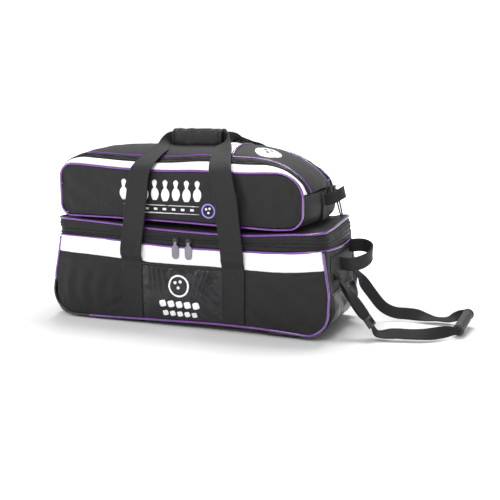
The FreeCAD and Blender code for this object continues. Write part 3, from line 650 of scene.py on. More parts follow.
def crown_lift(x):
    """Rise of the shoe bag's crown along its length."""
    return curve(x, [-0.34, -0.26, -0.20, -0.12, 0.0, 0.09, 0.14, 0.19, 0.25, 0.30],
                 np.array([-3, 0, 5, 7, 6, 8, 6, 3, 0, 0]) * 1e-3)


def shoe_base_lift(x):
    """Sag of the shoe bag's lower front seam."""
    return curve(x, [-0.32, -0.294, -0.16, 0.0, 0.137, 0.243, 0.28],
                 np.array([1, 1, 1, -2, -6, -6, -1]) * 1e-3)


# ---- cloth ----
SIMS = []
SINK = 0.0006  # how far a simulated sheet may fall behind its seams


def cloth_later(ob, pin, pressure, cap, grow, seed):
    """Queues a pinned sheet for the shared cloth run. cap is how far it may swell, per vertex."""
    me = ob.data
    co, no = read(me), read(me, "normal")
    free = 1 - np.asarray(pin, float).ravel()
    uneven = 0.0005 * ripple(co[:, 0] + co[:, 1], co[:, 2] + co[:, 1] * 0.3, seed, 0.05)
    me.vertices.foreach_set("co", (co + no * (uneven * free)[:, None]).ravel())
    group = ob.vertex_groups.new(name="pin")
    for i, f in enumerate(free):
        if f < 0.999:
            group.add([i], float(1 - f), "REPLACE")
    SIMS.append((ob, co, no, np.broadcast_to(np.asarray(cap, float).ravel(), (len(co),))))
    m = ob.modifiers.new("cloth", "CLOTH")
    s = m.settings
    s.quality = 5
    s.mass = 0.15
    s.tension_stiffness = s.compression_stiffness = 14.0
    s.shear_stiffness = 7.0
    s.bending_stiffness = 0.25
    s.air_damping = 2.0
    s.use_pressure = True
    s.uniform_pressure_force = pressure
    s.vertex_group_mass = "pin"
    s.pin_stiffness = 5.0
    s.shrink_min = -grow
    s.effector_weights.gravity = 0
    m.collision_settings.use_collision = False
    m.collision_settings.use_self_collision = False
    m.point_cache.frame_start = 1
    m.point_cache.frame_end = 40


def run_cloth(frames):
    """Steps every queued sheet together, then caps and keeps the result."""
    sc = bpy.context.scene
    for f in range(1, frames + 1):
        sc.frame_set(f)
    dg = bpy.context.evaluated_depsgraph_get()
    for ob, rest, no, cap in SIMS:
        co = read(ob.evaluated_get(dg).data)
        d = co - rest
        out = np.sum(d * no, axis=1)
        side = d - no * out[:, None]
        out = np.where(out > 0, cap * np.tanh(out / np.maximum(cap, 1e-6)),
                       np.maximum(out, -SINK))
        lim = 0.003 / np.maximum(np.linalg.norm(side, axis=1), 0.003)
        final = rest + no * out[:, None] + side * np.minimum(lim, 1)[:, None]
        ob.modifiers.clear()
        ob.vertex_groups.clear()
        ob.data.vertices.foreach_set("co", final.ravel())
        ob.data.update()
    sc.frame_set(1)


def surface_of(*names):
    """Search tree over the current meshes of some pieces."""
    verts, faces = [], []
    for name in names:
        me, base = bpy.data.objects[name].data, len(verts)
        verts += [v.co.copy() for v in me.vertices]
        faces += [tuple(base + i for i in p.vertices) for p in me.polygons]
    return BVHTree.FromPolygons(verts, faces)


def drop_on(tree, points, direction, lift):
    """Moves points along direction until they meet the surface, then back off by lift."""
    d = Vector(direction)
    out = []
    for p in points:
        hit = tree.ray_cast(Vector(p), d, 0.3)[0]
        out.append(tuple(hit - d * lift) if hit is not None else tuple(p))
    return np.array(out)


# ---- lower bag: front, back, ends and base ----
def half_length(z):
    """Half of the bag's length at a height, before the seams' flare."""
    return BASE_X + 0.0003 - (BASE_X - RIM_X) * z / RIM_Z


def corner_r(z):
    """Radius of the upright corners in plan: sharp at the foot, round at the rim."""
    return 0.015 * ease((np.asarray(z, float) - 0.085) / 0.085) + 1e-5


def flare(z):
    """How far the upright seams stand out of the straight taper."""
    z = np.asarray(z, float)
    return 0.0052 * ease((z - 0.055) / 0.045) - 0.0010 * ease((z - 0.15) / 0.03)


def rim_bulge(y):
    """How far the rim bows out at the ends."""
    return 0.0075 * (1 - np.minimum(np.abs(y) / 0.126, 1) ** 2)


def wall_off(y, z):
    """Bulge of the end walls over the straight taper at a point."""
    y = np.asarray(y, float)
    return flare(z) * (np.abs(y) / 0.126) ** 4 + rim_bulge(y) * ease((z - 0.138) / 0.046)


def corner_in(d, r):
    """How far a wall has turned inwards at distance d past the start of its corner."""
    d = np.clip(d, 0, 0.72 * r)
    return r - np.sqrt(r * r - d * d)


TURN = 1 - math.sqrt(0.5)


def panel_outline(inset):
    """Rounded outline of the front panel, as a function height -> half length."""
    r = BASE_R - inset

    def half(z):
        full = half_length(z) + float(flare(z)) - inset - TURN * float(corner_r(z))
        lower = inset + r
        if z >= lower:
            return full
        return full - r + math.sqrt(max(r * r - (lower - z) ** 2, 0.0))
    return half


def face_lift(x, z):
    """How far the face's cloth hangs out of true at a point: the seams' sag, blended."""
    t = np.clip(z / RIM_Z, 0, 1)
    b = base_lift(x, -0.126)
    m = band_lift(x)
    r = rim_lift(x, -0.126)
    return np.where(t < 0.76, b + (m - b) * ease(t / 0.76), m + (r - m) * (t - 0.76) / 0.24)


def rows_cols(nz, nx):
    """Steps from each grid point to the nearest row edge and column edge."""
    row = np.minimum(np.arange(nz), nz - 1 - np.arange(nz))[:, None] + np.zeros((1, nx))
    col = np.minimum(np.arange(nx), nx - 1 - np.arange(nx))[None, :] + np.zeros((nz, 1))
    return row, col


def lower_face(sign):
    """Grid for the front (sign -1) or back (sign 1) panel, up to the rim seam."""
    inset = 0.0026
    half = panel_outline(inset)
    nx, nz = ((150, 48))
    zs = inset + 0.0004 + (RIM_Z - 0.001 - inset) * np.linspace(0, 1, nz)
    P = np.zeros((nz, nx, 3))
    for i, z in enumerate(zs):
        P[i, :, 0] = np.linspace(-half(z), half(z), nx)
        P[i, :, 2] = z
    if sign < 0:
        P[..., 2] += face_lift(P[..., 0], P[..., 2])
    else:
        P[..., 2] += 0.4 * face_lift(P[..., 0], P[..., 2]) * ease(P[..., 2] / 0.06)
    x, z = P[..., 0], P[..., 2]
    r = corner_r(z)
    past = np.abs(x) - (half_length(z) + flare(z) - inset - r)
    P[..., 1] = sign * (HALF_W - 0.0004 - corner_in(past, r))
    ob = sheet("face", P, UV=P[..., [0, 2]], flip=sign > 0)
    row, col = rows_cols(nz, nx)
    strap = (np.abs(np.abs(x) - STRAP_X) < WEB_W / 2 + 0.001) & (z < BAND_Z) & (z > 0.010)
    pin = (col < 1) | (row < 1) | strap
    away = ease(np.minimum(col * 0.0046, row * 0.0038) / 0.05)
    cap = np.where(np.abs(x) > STRAP_X, 0.013, 0.0065)
    band = z > BAND_Z - 0.004
    cap = np.where(band, np.where(np.abs(x) < STRAP_X + 0.03, 0.0030, 0.0027), cap)
    cap = cap * (0.25 + 0.75 * away)
    cloth_later(ob, pin, 3.2, cap, grow=0.016, seed=5 if sign < 0 else 6)
    return ob, (nz, nx)


def folds(P, sign):
    """Soft creases over the simulated face: hanging folds on the left, drag lines at the right."""
    x, z = P[..., 0], P[..., 2]
    wave = 2 * math.pi
    left = ease((-0.165 - x) / 0.02) * ease((0.33 + x) / 0.03)
    left = left * ease((BAND_Z - 0.012 - z) / 0.04) * ease((z - 0.02) / 0.04)
    out = left * 0.0018 * np.sin((x + 0.018 * np.sin(z * 26)) * wave / 0.042)
    right = ease((x - 0.165) / 0.02) * ease((0.34 - x) / 0.03) * ease((BAND_Z - 0.01 - z) / 0.04)
    out += right * 0.0017 * np.sin((z * 0.8 + x * 0.7) * wave / 0.060 + 0.8)
    band = ease((z - BAND_Z) / 0.01) * ease((RIM_Z + 0.004 - z) / 0.01)
    out += band * 0.0010 * np.sin((x + z * 0.5) * wave / 0.075) * (1 - 0.4 * np.cos(x * 9))
    out += 0.0006 * ripple(x, z, 11 + sign, 0.05)
    edge = np.minimum(np.abs(x - x[:, :1]), np.abs(x - x[:, -1:]))
    return out * ease((edge - 0.004) / 0.022) * ease((z - 0.008) / 0.02)


def finish_faces(made):
    """After the cloth run: creases, then the black field and the white band above it."""
    whites = []
    for sign, (ob, shape) in made.items():
        which = "front" if sign < 0 else "back"
        P = read(ob.data).reshape(*shape, 3)
        bpy.data.objects.remove(ob)
        P[..., 1] += sign * np.maximum(folds(P, sign), -0.0028)
        heights = np.linspace(0, 1, shape[0])
        k = int(np.searchsorted(heights, (BAND_Z - 0.003) / (RIM_Z - 0.0036)))
        P[k - 1:k + 2, :, 1] -= sign * 0.0006
        field, band = P[:k + 1], P[k:].copy()
        black = sheet("lower_%s_cloth" % which, field, UV=field[..., [0, 2]], flip=sign > 0)
        band[..., 1] += sign * 0.0007
        band[0, :, 1] -= sign * 0.0009
        white = sheet("white", band, UV=band[..., [0, 2]], flip=sign > 0)
        for piece in (black, white):
            thicken(refine(piece), 0.003)
        dress(black, "black_polyester", "ball_bag", "black_fabric", "lower_%s_panel" % which)
        whites.append(white)
    band = merge("white_band_cloth", whites)
    dress(band, "white_coated", "ball_bag", "white_fabric", "white_bands")


def outward(line):
    """Unit normals, in the xz plane, of a line that climbs the right end."""
    tan = unit(np.gradient(line, axis=0))
    return np.stack([tan[:, 2], 0 * tan[:, 0], -tan[:, 0]], 1)


def end_profile(top):
    """The right end's line in the xz plane: under the corner, round it and up to a height."""
    return round_path([(0.2, 0, 0.0), (half_length(0), 0, 0.0), (half_length(top), 0, top)],
                      [0, BASE_R, 0], 0.002)


def end_sheet(side):
    """Wrap of an end panel: from under the corner up to the rim, with a soft belly."""
    ny, nz = ((56, 60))
    y_half = HALF_W - 0.004
    top = RIM_Z - 0.001
    if side > 0:
        start_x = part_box("foot_strip")[1].x + 0.0004
        path = [(start_x, 0, 0.0002), (half_length(0), 0, 0.0002), (half_length(top), 0, top)]
        line = round_path(path, [0, BASE_R, 0], 0.004)
    else:
        bottom = HOUSE_Z + 0.0005
        line = np.array([(-half_length(bottom), 0, bottom), (-half_length(top), 0, top)])
    line = resample_n(line, nz)
    v = np.linspace(-1, 1, ny)[None, :]
    t = np.linspace(0, 1, nz)[:, None]
    z = line[:, 2][:, None]
    r = corner_r(z)
    yy = v * (y_half - TURN * r)
    P = line[:, None, :] + np.zeros((nz, ny, 3))
    P[..., 1] = yy
    P[..., 0] += side * (wall_off(yy, z) - corner_in(np.abs(yy) - (y_half - r), r))
    belly = 0.007 * np.sin(math.pi * t) ** 0.8 * (1 - (yy / y_half) ** 4)
    if side > 0:
        belly = belly * ease((z - 0.03) / 0.05) * 0.55
        crease = 0.0016 * np.sin(yy * 70 + z * 30) * np.sin(math.pi * t)
    else:
        crease = 0.0020 * np.sin(yy * 45 + 2.0 * np.sin(t * 5)) * np.sin(math.pi * t)
    off = belly + crease + 0.0006 * ripple(yy, t * 0.2, 21 + side, 0.06)
    if side > 0:
        off = off * (1 - ease((0.10 - np.abs(yy)) / 0.01) * ease((0.095 - z) / 0.01))
    fade = ease((1 - np.abs(v)) * y_half / 0.02) * ease(t / 0.05) * ease((1 - t) / 0.05)
    P += side * outward(line)[:, None, :] * (off * fade)[..., None]
    P[..., 2] += rim_lift(P[..., 0], P[..., 1]) * ease((z - 0.11) / 0.07)
    which = "left" if side < 0 else "right"
    ob = sheet(which + "_end_cloth", P, UV=stack(yy, arclen(line)[:, None]), flip=side < 0)
    thicken(ob, 0.0035)
    dress(ob, "black_polyester", "ball_bag", "black_fabric", which + "_end_panel")


def base_sheet():
    """Base cloth between the wheel housing and the foot strip, slightly hollow."""
    x0, x1 = HOUSE_X + 0.0004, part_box("foot_strip")[0].x - 0.0004
    x = np.linspace(x0, x1, 70)[None, :]
    y = np.linspace(-HALF_W + 0.004, HALF_W - 0.004, 40)[:, None]
    z = base_lift(x, y) * ease((x - x0) / 0.03) * ease((x1 - x) / 0.02)
    P = stack(x, y, z + 0.0004 * ripple(x, y, 31, 0.08) + 0.0006)
    ob = sheet("base_cloth", P, UV=P[..., :2], flip=True)
    thicken(ob, 0.003)
    dress(ob, "black_lining", "ball_bag", "black_fabric", "base_panel")


def body_cords():
    """Piping round both faces; the moulded corner carries its own bead."""
    parts = []
    inset, top, low = 0.0003, RIM_Z - 0.0034, HOUSE_Z + 0.0008
    for sign, k in ((-1, 1.0), (1, 0.5)):
        y = sign * (HALF_W - 0.0005)
        run = round_path([(HOUSE_X + 0.0003, y, inset), (half_length(0) - inset, y, inset),
                          (half_length(top) - inset, y, top)], [0, BASE_R - inset, 0], 0.005)
        short = round_path([(inset - half_length(low), y, low),
                            (inset - half_length(top), y, top)], [0, 0], 0.005)
        for line in (run, short):
            x, z = line[:, 0].copy(), line[:, 2].copy()
            up = ease((z - 0.02) / 0.15)
            foot = base_lift(x, -0.126) * ease((x - HOUSE_X) / 0.03)
            head = rim_lift(x, y + 0 * x) * ease((z - 0.12) / 0.06)
            turn = TURN * corner_r(z)
            line[:, 0] += np.sign(x) * ease((np.abs(x) - 0.28) / 0.02) * (flare(z) - turn)
            line[:, 1] -= sign * turn
            line[:, 2] += k * ((1 - up) * foot + up * head)
            line[:, 1] += sign * 0.0004 * ripple(line[:, 0], line[:, 2], 41, 0.06)
            parts.append(cord("c", line, CORD))
    ob = merge("body_piping_cord", parts)
    dress(ob, "purple_vinyl", "ball_bag", "purple_piping", "body_piping")


def rim_line(z, inset, lift, step=0.005):
    """Closed path round the rim at a height; lift gives the seam's sag."""
    x, y = RIM_X - inset, RIM_Y - inset
    left, right = RIM_R[-1] - inset, RIM_R[1] - inset
    pts = round_path([(-x, -y, z), (x, -y, z), (x, y, z), (-x, y, z)],
                     [left, right, right, left], step, closed=True)
    near = ease((np.abs(pts[:, 0]) - 0.25) / 0.06)
    low = ease((LID_Z - z) / 0.034)
    out = low * (0.0040 + rim_bulge(pts[:, 1])) + (pts[:, 0] < 0) * LID_LEFT * (1 - low)
    pts[:, 0] += np.sign(pts[:, 0]) * near * out
    # tucked in at the left of the front, so that the zip slider clears it
    pts[:, 1] += (pts[:, 1] < -0.1) * 0.0017 * low * ease((-0.15 - pts[:, 0]) / 0.06)
    pts[:, 2] += lift(pts[:, 0], pts[:, 1])
    return pts


def rim_cords():
    """Closed piping round the rim and round the lid."""
    for z, lift, body, part in ((RIM_Z, rim_lift, "ball_bag", "rim"),
                                (LID_Z, lid_lift, "lid", "lid")):
        ob = cord(part + "_piping_cord", rim_line(z, 0.0, lift), CORD, closed=True)
        dress(ob, "purple_vinyl", body, "purple_piping", part + "_piping")


def zip_lift(x, y):
    """Sag of the zip line itself: far less than the cords above and below it."""
    return 0.35 * rim_lift(x, y)


def wrap_strip(low, high, low_lift, high_lift, rows, inset, bow, part=None, extra=None):
    """Upright strip round the rim between two sagging heights, whole or only one part of it."""
    a = rim_line(low, inset, low_lift, 0.004)
    b = rim_line(high, inset, high_lift, 0.004)
    if part:
        order = band_order(a, part)
        a, b = a[order], b[order]
    t = np.linspace(0, 1, rows)[:, None]
    P = a * (1 - t[..., None]) + b * t[..., None]
    tan = np.gradient(a, axis=0)
    out = unit(np.stack([tan[:, 1], -tan[:, 0], 0 * tan[:, 0]], 1))
    off = bow * np.sin(math.pi * t) + (extra(a, t) if extra else 0)
    return P + out * off[..., None], stack(arclen(a)[None, :], t * (high - low))


def band_order(line, part):
    """Indices of the zip's or the hinge's share of a closed rim line, in order round it."""
    y = line[:-1, 1]
    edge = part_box("lower_zip_tape")[1].y if part == "zip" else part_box("lid_hinge_base")[0].y
    keep = np.where(y < edge if part == "zip" else y >= edge)[0]
    count = len(y)
    first = next(i for i in keep if (i - 1) % count not in keep)
    return (first + np.arange(len(keep))) % count


def zips():
    """Zip tapes with their coils, and the fabric hinge along the back."""
    spans = (("lower", "ball_bag", RIM_Z + 0.0026, ZIP_Z - 0.0002, rim_lift, zip_lift, 5, -1),
             ("upper", "lid", ZIP_Z + 0.0002, ZIP_Z + 0.0096, zip_lift, upper_lift, 6, 1))
    for level, body, low, high, low_lift, high_lift, rows, side in spans:
        P, UV = wrap_strip(low, high, low_lift, high_lift, rows, 0.0012, 0.0005, "zip")
        tape = thicken(sheet("tape", P, UV), 0.0010)
        ob = merge(level + "_zip_teeth", [tape, coil_row(side)])
        dress(ob, "zip_tape_cloth", body, "zip_tape", level + "_zip_tape")
        ob.data.materials.append(MATS["coil_nylon"])
        first_coil = 2 * P.shape[0] * P.shape[1]
        for p in ob.data.polygons:
            if min(p.vertices) >= first_coil:
                p.material_index = 1
    for span, name, node in zip(spans, ("hinge_base_cloth", "hinge_flap_cloth"),
                                ("lid_hinge_base", "lid_hinge_strip")):
        _, body, low, high, low_lift, high_lift, _, _ = span
        P, UV = wrap_strip(low, high, low_lift, high_lift, 6, 0.0, 0.0012, "hinge")
        ob = thicken(sheet(name, P, UV), 0.0028)
        dress(ob, "black_polyester", body, "black_fabric", node)


def upper_lift(x, y):
    """Sag of the upper tape's top edge, between the zip line and the lid cord."""
    return 0.21 * rim_lift(x, y) + 0.4 * lid_lift(x, y)


def coil_row(side):
    """One side of the zip's coil: a bead per tooth, standing on the tape's edge."""
    line = rim_line(ZIP_Z + side * 0.0011, -0.0004, zip_lift, 0.002)
    line = line[band_order(line, "zip")]
    s = arclen(line)
    pitch = 0.0030
    section = ((-1, -0.5), (-1, 0.5), (-0.2, 1), (0.8, 0.7), (0.8, -0.7), (-0.2, -1))
    verts, faces = [], []
    for k in range(int(s[-1] / pitch)):
        m = (k + (0.25 if side > 0 else 0.75)) * pitch
        c = at_length(m, s, line)
        d = unit(at_length(m + 0.001, s, line) - c)
        out = np.array([d[1], -d[0], 0])
        faces += tube_faces(4, len(section), len(verts))
        for f, w in ((-0.5, 0.55), (-0.25, 1.0), (0.25, 1.0), (0.5, 0.55)):
            verts += [c + d * f * 0.0020 + out * u * 0.0010 * w + np.array([0, 0, v * 0.0009 * w])
                      for u, v in section]
    return new_mesh("coil", verts, faces)


# ---- lid ----
def lid_rolls(line, t):
    """Two rolled ridges and a fainter third along the lid's band, with a slight pucker."""
    s = arclen(line)[None, :]
    pucker = 0.0004 * np.sin(s * 2 * math.pi / 0.052 + 2 * np.sin(s * 9)) * np.sin(math.pi * t)
    rolls = sum(0.0019 * np.exp(-((t - c) / 0.085) ** 2) for c in (0.26, 0.55))
    return pucker + rolls + 0.0006 * np.exp(-((t - 0.82) / 0.08) ** 2)


def lid_parts():
    """Band under the lid cord, the sagging top panel and the hook-and-loop pads on it."""
    P, UV = wrap_strip(ZIP_Z + 0.0098, LID_Z - 0.0018, upper_lift, lid_lift, 27, 0.0010,
                       0.0014, extra=lid_rolls)
    ob = sheet("lid_band_cloth", P[:, :-1], UV[:, :-1], loop=True)
    thicken(ob, 0.0028)
    dress(ob, "black_polyester", "lid", "black_fabric", "lid_band")
    u, v = grid(140, 70)
    X, Y = RIM_X - 0.0018, RIM_Y - 0.0018
    R = np.where(u < 0, RIM_R[-1], RIM_R[1]) - 0.0018
    y = v * Y
    dy = np.maximum(np.abs(y) - (Y - R), 0)
    x = u * (X + LID_LEFT * (u < 0) - R + np.sqrt(np.maximum(R * R - dy * dy, 0)))
    edge = np.minimum(1 - np.abs(u), (1 - np.abs(v)) * Y / X)
    inner = ease(edge / 0.22)
    z = (LID_Z + lid_lift(x, y) * (1 - 0.92 * inner) + ease(edge / 0.05) * 0.0008
         + 0.0006 * ripple(x, y, 51, 0.09) * inner)
    P = np.stack([x, y, z], 2)
    ob = sheet("lid_top_cloth", P, UV=P[..., :2])
    thicken(ob, 0.0028)
    dress(ob, "black_polyester", "lid", "black_fabric", "lid_panel")
    for name, node, body in (("lid_hook_pads", "lid_hook_tape", "lid"),
                             ("shoe_loop_pads", "shoe_loop_tape", "shoe_bag")):
        lo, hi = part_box(node)
        ob = merge(name, [pad(cx, 0.070, 0.025, lo.z, hi.z) for cx in (-0.200, 0.160)])
        dress(ob, "hook_pile", body, "hook_tape", node)


def pad(cx, hx, hy, z0, z1):
    """Small rounded, slightly quilted pad."""
    u, v = grid(30, 14)
    top = (1 - np.abs(u) ** 12) * (1 - np.abs(v) ** 8)
    P = np.stack([cx + u * hx, v * hy, z1 - (z1 - z0) * 0.45 * (1 - top) - 0.0001
                  * (1 + np.sin(u * 60) * np.sin(v * 22))], 2)
    ob = sheet("pad", P, UV=P[..., :2])
    return thicken(ob, (z1 - z0) * 0.5)


# ---- shoe bag ----
def swell(y):
    """Share of the crown reached at y: a slope at the front, a shelf at the back."""
    y = np.asarray(y, float)
    return 1 - (np.abs(y) / SHOE_Y) ** np.where(y > 0, 6.0, 2.7)


def shoe_corners(s, inset=0.0):
    """Half axes of the section's upper corners: left x, left z, right x, right z."""
    return (0.031 + 0.086 * s - inset, 0.031 + 0.027 * s - inset,
            0.060 + 0.129 * s - inset, 0.056 + 0.069 * s - inset)


def shoe_loop(y, inset=0.0):
    """Closed section of the shoe bag at y, from the top's middle round by the left end."""
    s = float(swell(y))
    x0, x1 = SHOE_X0 - BULGE * s + inset, SHOE_X1 + BULGE * s - inset
    z0, z1 = SHOE_Z0 + inset, SHOE_Z1 + CROWN * s - inset
    al, bl, ar, br = shoe_corners(s, inset)
    foot = 0.028 - inset
    turn = np.linspace(0, math.pi / 2, 40)
    c, n = np.cos(turn), np.sin(turn)
    middle = ([(x0 + x1) / 2], [z1])
    runs = [middle, (x0 + al - al * n, z1 - bl + bl * c),
            (x0 + foot - foot * c, z0 + foot - foot * n),
            (x1 - foot + foot * n, z0 + foot - foot * c),
            (x1 - ar + ar * c, z1 - br + br * n), middle]
    x, z = (np.concatenate([r[k] for r in runs]) for k in (0, 1))
    return resample(np.stack([x, np.full(len(x), float(y)), z], 1), 0.002)


def section_part(y, part, count, inset=0.0):
    """Even points along one part of the sagging section: top, left, right or base."""
    loop = shoe_loop(y, inset)
    low, high = SHOE_Z0 + 0.005, SHOULDER + 0.0002
    half = len(loop) // 2
    if part == "top":
        pts = np.concatenate([loop[half:-1], loop[:half + 1]])
        pts = pts[pts[:, 2] >= high]
    elif part == "base":
        pts = loop[loop[:, 2] <= low]
    else:
        pts = loop[:half] if part == "left" else loop[half:]
        pts = pts[(pts[:, 2] < high) & (pts[:, 2] > low)]
    if part == "right":
        pts = pts[::-1]
    pts = resample_n(pts, count)
    return sag_shoe(pts[::-1] if part == "top" else pts)


def sag_shoe(P):
    """Shoe bag's own sag: its front seams hang and ripple, fading towards its middle."""
    P = np.array(P, float)
    x, y, z = P[..., 0], P[..., 1], P[..., 2]
    t = np.clip((z - SHOE_Z0) / (SHOE_Z1 - SHOE_Z0), 0, 1)
    near = ease((-y - 0.02) / 0.09)
    far = ease((y - 0.02) / 0.09) * 0.5
    lift = (1 - t) * shoe_base_lift(x) + t * shoe_top_lift(x)
    rise = crown_lift(x) * ease((y + 0.085) / 0.085)
    rise = rise + (0.004 * np.exp(-((x - 0.05) / 0.07) ** 2)
                   * ease((-0.03 - y) / 0.04) * ease((y + 0.115) / 0.02))
    P[..., 2] = z + lift * (near + far) + rise * ease((z - 0.315) / 0.05)
    return P


def strip_over(ys, count, puff, seed, ridges=None):
    """Strip of the gusset over the top and down both shoulders, between the first and last y."""
    P = np.array([section_part(y, "top", count) for y in ys])
    tan = unit(np.gradient(P, axis=1))
    n = np.stack([-tan[..., 2], 0 * tan[..., 0], tan[..., 0]], 2)
    mid = len(ys) // 2
    if n[mid, count // 2, 2] < 0:
        n = -n
    t = np.linspace(0, 1, len(ys))[:, None]
    s = arclen(P[mid])[None, :]
    off = puff * np.sin(math.pi * t) ** 0.7 + 0.0007 * ripple(s, t * 0.15, seed, 0.05)
    if ridges:
        off = off + ridges(s, t)
    P = P + n * (off * ease(np.minimum(t, 1 - t) / 0.08))[..., None]
    ob = sheet("strip", P, stack(s, t * abs(ys[-1] - ys[0])))
    return face_out(ob, SHOE_MID), P, n


def face_out(ob, centre):
    """Turns the faces so that they look away from a centre."""
    me = ob.data
    c = Vector(centre)
    score = sum(p.normal.dot(p.center - c) for p in me.polygons)
    if score < 0:
        me.flip_normals()
    return ob


SHOE_MID = ((SHOE_X0 + SHOE_X1) / 2, 0.0, (SHOE_Z0 + SHOE_Z1) / 2 + 0.02)


def zip_folds(s, t):
    """Gathered, shiny folds that run along the zip strip."""
    drift = 0.5 * np.sin(s * 13) + 0.3 * np.sin(s * 31 + 1)
    return 0.0011 * np.sin(t * 2 * math.pi * 3.0 + drift * 1.4) + 0.0006 * np.sin(s * 95 + t * 6)


def white_ripples(s, t):
    """Wavy bulge along the white strips."""
    return 0.0009 * np.sin(s * 2 * math.pi / 0.058 + 1.5 * np.sin(s * 11)) * np.sin(math.pi * t)


def shoe_strips():
    """White strips, zip strips with their teeth, the top panel, its patch and its cords."""
    count = 300
    bands, whites = [], []
    for sign in (-1, 1):
        ys = sign * np.linspace(SHOE_Y - 0.0015, WHITE_Y + 0.0003, 7)
        ob, _, _ = strip_over(ys, count, 0.0016, 61 + sign, white_ripples)
        whites.append(thicken(ob, 0.0018))
        ys = sign * np.linspace(WHITE_Y, ZIP_Y + 0.0020, 13)
        ob, P, n = strip_over(ys, count, 0.0008, 63 + sign, zip_folds)
        bands.append(thicken(ob, 0.0018))
        bands.append(teeth(P[6] + n[6] * 0.0012, n[6], 0.0034, 0.0042, 0.0011))
        bands.append(cord("seam", P[1] + n[1] * 0.0006, 0.0009, sides=8))
    ob = merge("shoe_zip_cloth", bands)
    dress(ob, "zip_tape_cloth", "shoe_bag", "black_fabric", "shoe_zip_bands")
    inner = ZIP_Y - 0.0020
    ob, P, n = strip_over(np.linspace(-inner, inner, 33), count, 0.003, 65)
    ob.name = "shoe_top_cloth"
    thicken(ob, 0.0018)
    dress(ob, "black_polyester", "shoe_bag", "black_fabric", "shoe_top_panel")
    along = P[16, :, 0]
    patch = (along >= 0.064) & (along <= 0.096)
    ob = face_out(sheet("patch", P[:, patch] + n[:, patch] * 0.0007), SHOE_MID)
    whites.append(thicken(ob, 0.0010))
    ob = merge("shoe_white_strips", whites)
    dress(ob, "white_coated", "shoe_bag", "white_fabric", "shoe_white_pieces")
    cords = [cord("c", section_part(sign * ZIP_Y, "top", count, 0.0006), 0.0024)
             for sign in (-1, 1)]
    k = int(np.argmin(np.abs(along - 0.098)))
    cords.append(cord("c", P[:, k] + n[:, k] * 0.0012, 0.0016))
    ob = merge("shoe_top_cord", cords)
    dress(ob, "purple_vinyl", "shoe_bag", "purple_piping", "shoe_top_piping")


def teeth(path, normal, pitch, width, height):
    """Zip teeth: small rounded bars across a path, standing on its normal."""
    s = arclen(path)
    count = int(s[-1] / pitch)
    section = ((-1, 0.0), (-0.6, 1.0), (0.6, 1.0), (1, 0.0), (0, -0.5))
    verts, faces = [], []
    for k in range(count):
        m = (k + 0.5) * s[-1] / count
        c = at_length(m, s, path)
        d = unit(at_length(m + 0.001, s, path) - c)
        up = unit(at_length(m, s, normal))
        w = np.cross(d, up)
        faces += tube_faces(4, len(section), len(verts))
        for f, q in ((-0.5, 0.6), (-0.35, 1.0), (0.35, 1.0), (0.5, 0.6)):
            verts += [c + w * f * width + (d * u * pitch * 0.33 + up * v * height) * q
                      for u, v in section]
    return new_mesh("teeth", verts, faces)


def shoe_ends():
    """The two ends of the gusset and the base under it."""
    parts = []
    side = SHOE_Y - 0.0036
    ys = np.linspace(-side, side, 49)
    t = np.linspace(0, 1, len(ys))[:, None]
    for part, push in (("left", -1.0), ("right", 0.35)):
        P = np.array([section_part(y, part, 40) for y in ys])
        h = (P[..., 2] - SHOE_Z0) / (SHOULDER - SHOE_Z0)
        body = np.sin(math.pi * np.clip(h, 0, 1))
        off = 0.0025 * np.sin(math.pi * t) + 0.0013 * np.sin(ys[:, None] * 60 + h * 4)
        off = off * body + 0.0006 * ripple(ys[:, None], P[..., 2], 71, 0.05)
        P[..., 0] += push * off * ease(np.minimum(t, 1 - t) / 0.05)
        parts.append(thicken(face_out(sheet("end", P, UV=P[..., 1:]), SHOE_MID), 0.0018))
    ob = merge("shoe_end_cloth", parts)
    dress(ob, "black_polyester", "shoe_bag", "black_fabric", "shoe_end_panels")
    P = np.array([section_part(y, "base", 90) for y in ys])
    ob = thicken(face_out(sheet("shoe_base_cloth", P, UV=P[..., :2]), SHOE_MID), 0.0018)
    dress(ob, "black_lining", "shoe_bag", "black_fabric", "shoe_base_panel")


FOOT_R = 0.025  # rounding of the shoe panels' lower corners


def shoe_face(sign):
    """Front or back panel of the shoe bag, pinned along its piping."""
    inset = 0.0030
    nx, nz = ((140, 34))
    x0, x1 = SHOE_X0 + inset, SHOE_X1 - inset
    z0, z1 = SHOE_Z0 + inset + 0.001, SHOE_Z1 - inset
    al, bl, ar, br = shoe_corners(0.0, inset)

    def turned(past, r):
        """Share of a corner's half axis lost at a height past its start."""
        return 1 - math.sqrt(max(1 - (max(past, 0) / r) ** 2, 0))

    P = np.zeros((nz, nx, 3))
    for i, z in enumerate(np.linspace(z0, z1, nz)):
        foot = FOOT_R - math.sqrt(max(FOOT_R ** 2 - max(z0 + FOOT_R - z, 0) ** 2, 0))
        left = foot + al * turned(z - z1 + bl, bl)
        right = foot + ar * turned(z - z1 + br, br)
        P[i, :, 0] = np.linspace(x0 + left, x1 - right, nx)
        P[i, :, 2] = z
    P[..., 1] = sign * (SHOE_Y - 0.0006)
    P = sag_shoe(P)
    ob = sheet("shoe_face", P, UV=P[..., [0, 2]], flip=sign > 0)
    row, col = rows_cols(nz, nx)
    away = ease(np.minimum(row * 0.0034, col * 0.0043) / 0.03)
    cloth_later(ob, (row < 1) | (col < 1), 3.0, 0.0060 * (0.3 + 0.7 * away), 0.012, 81 + sign)
    return ob, (nz, nx)


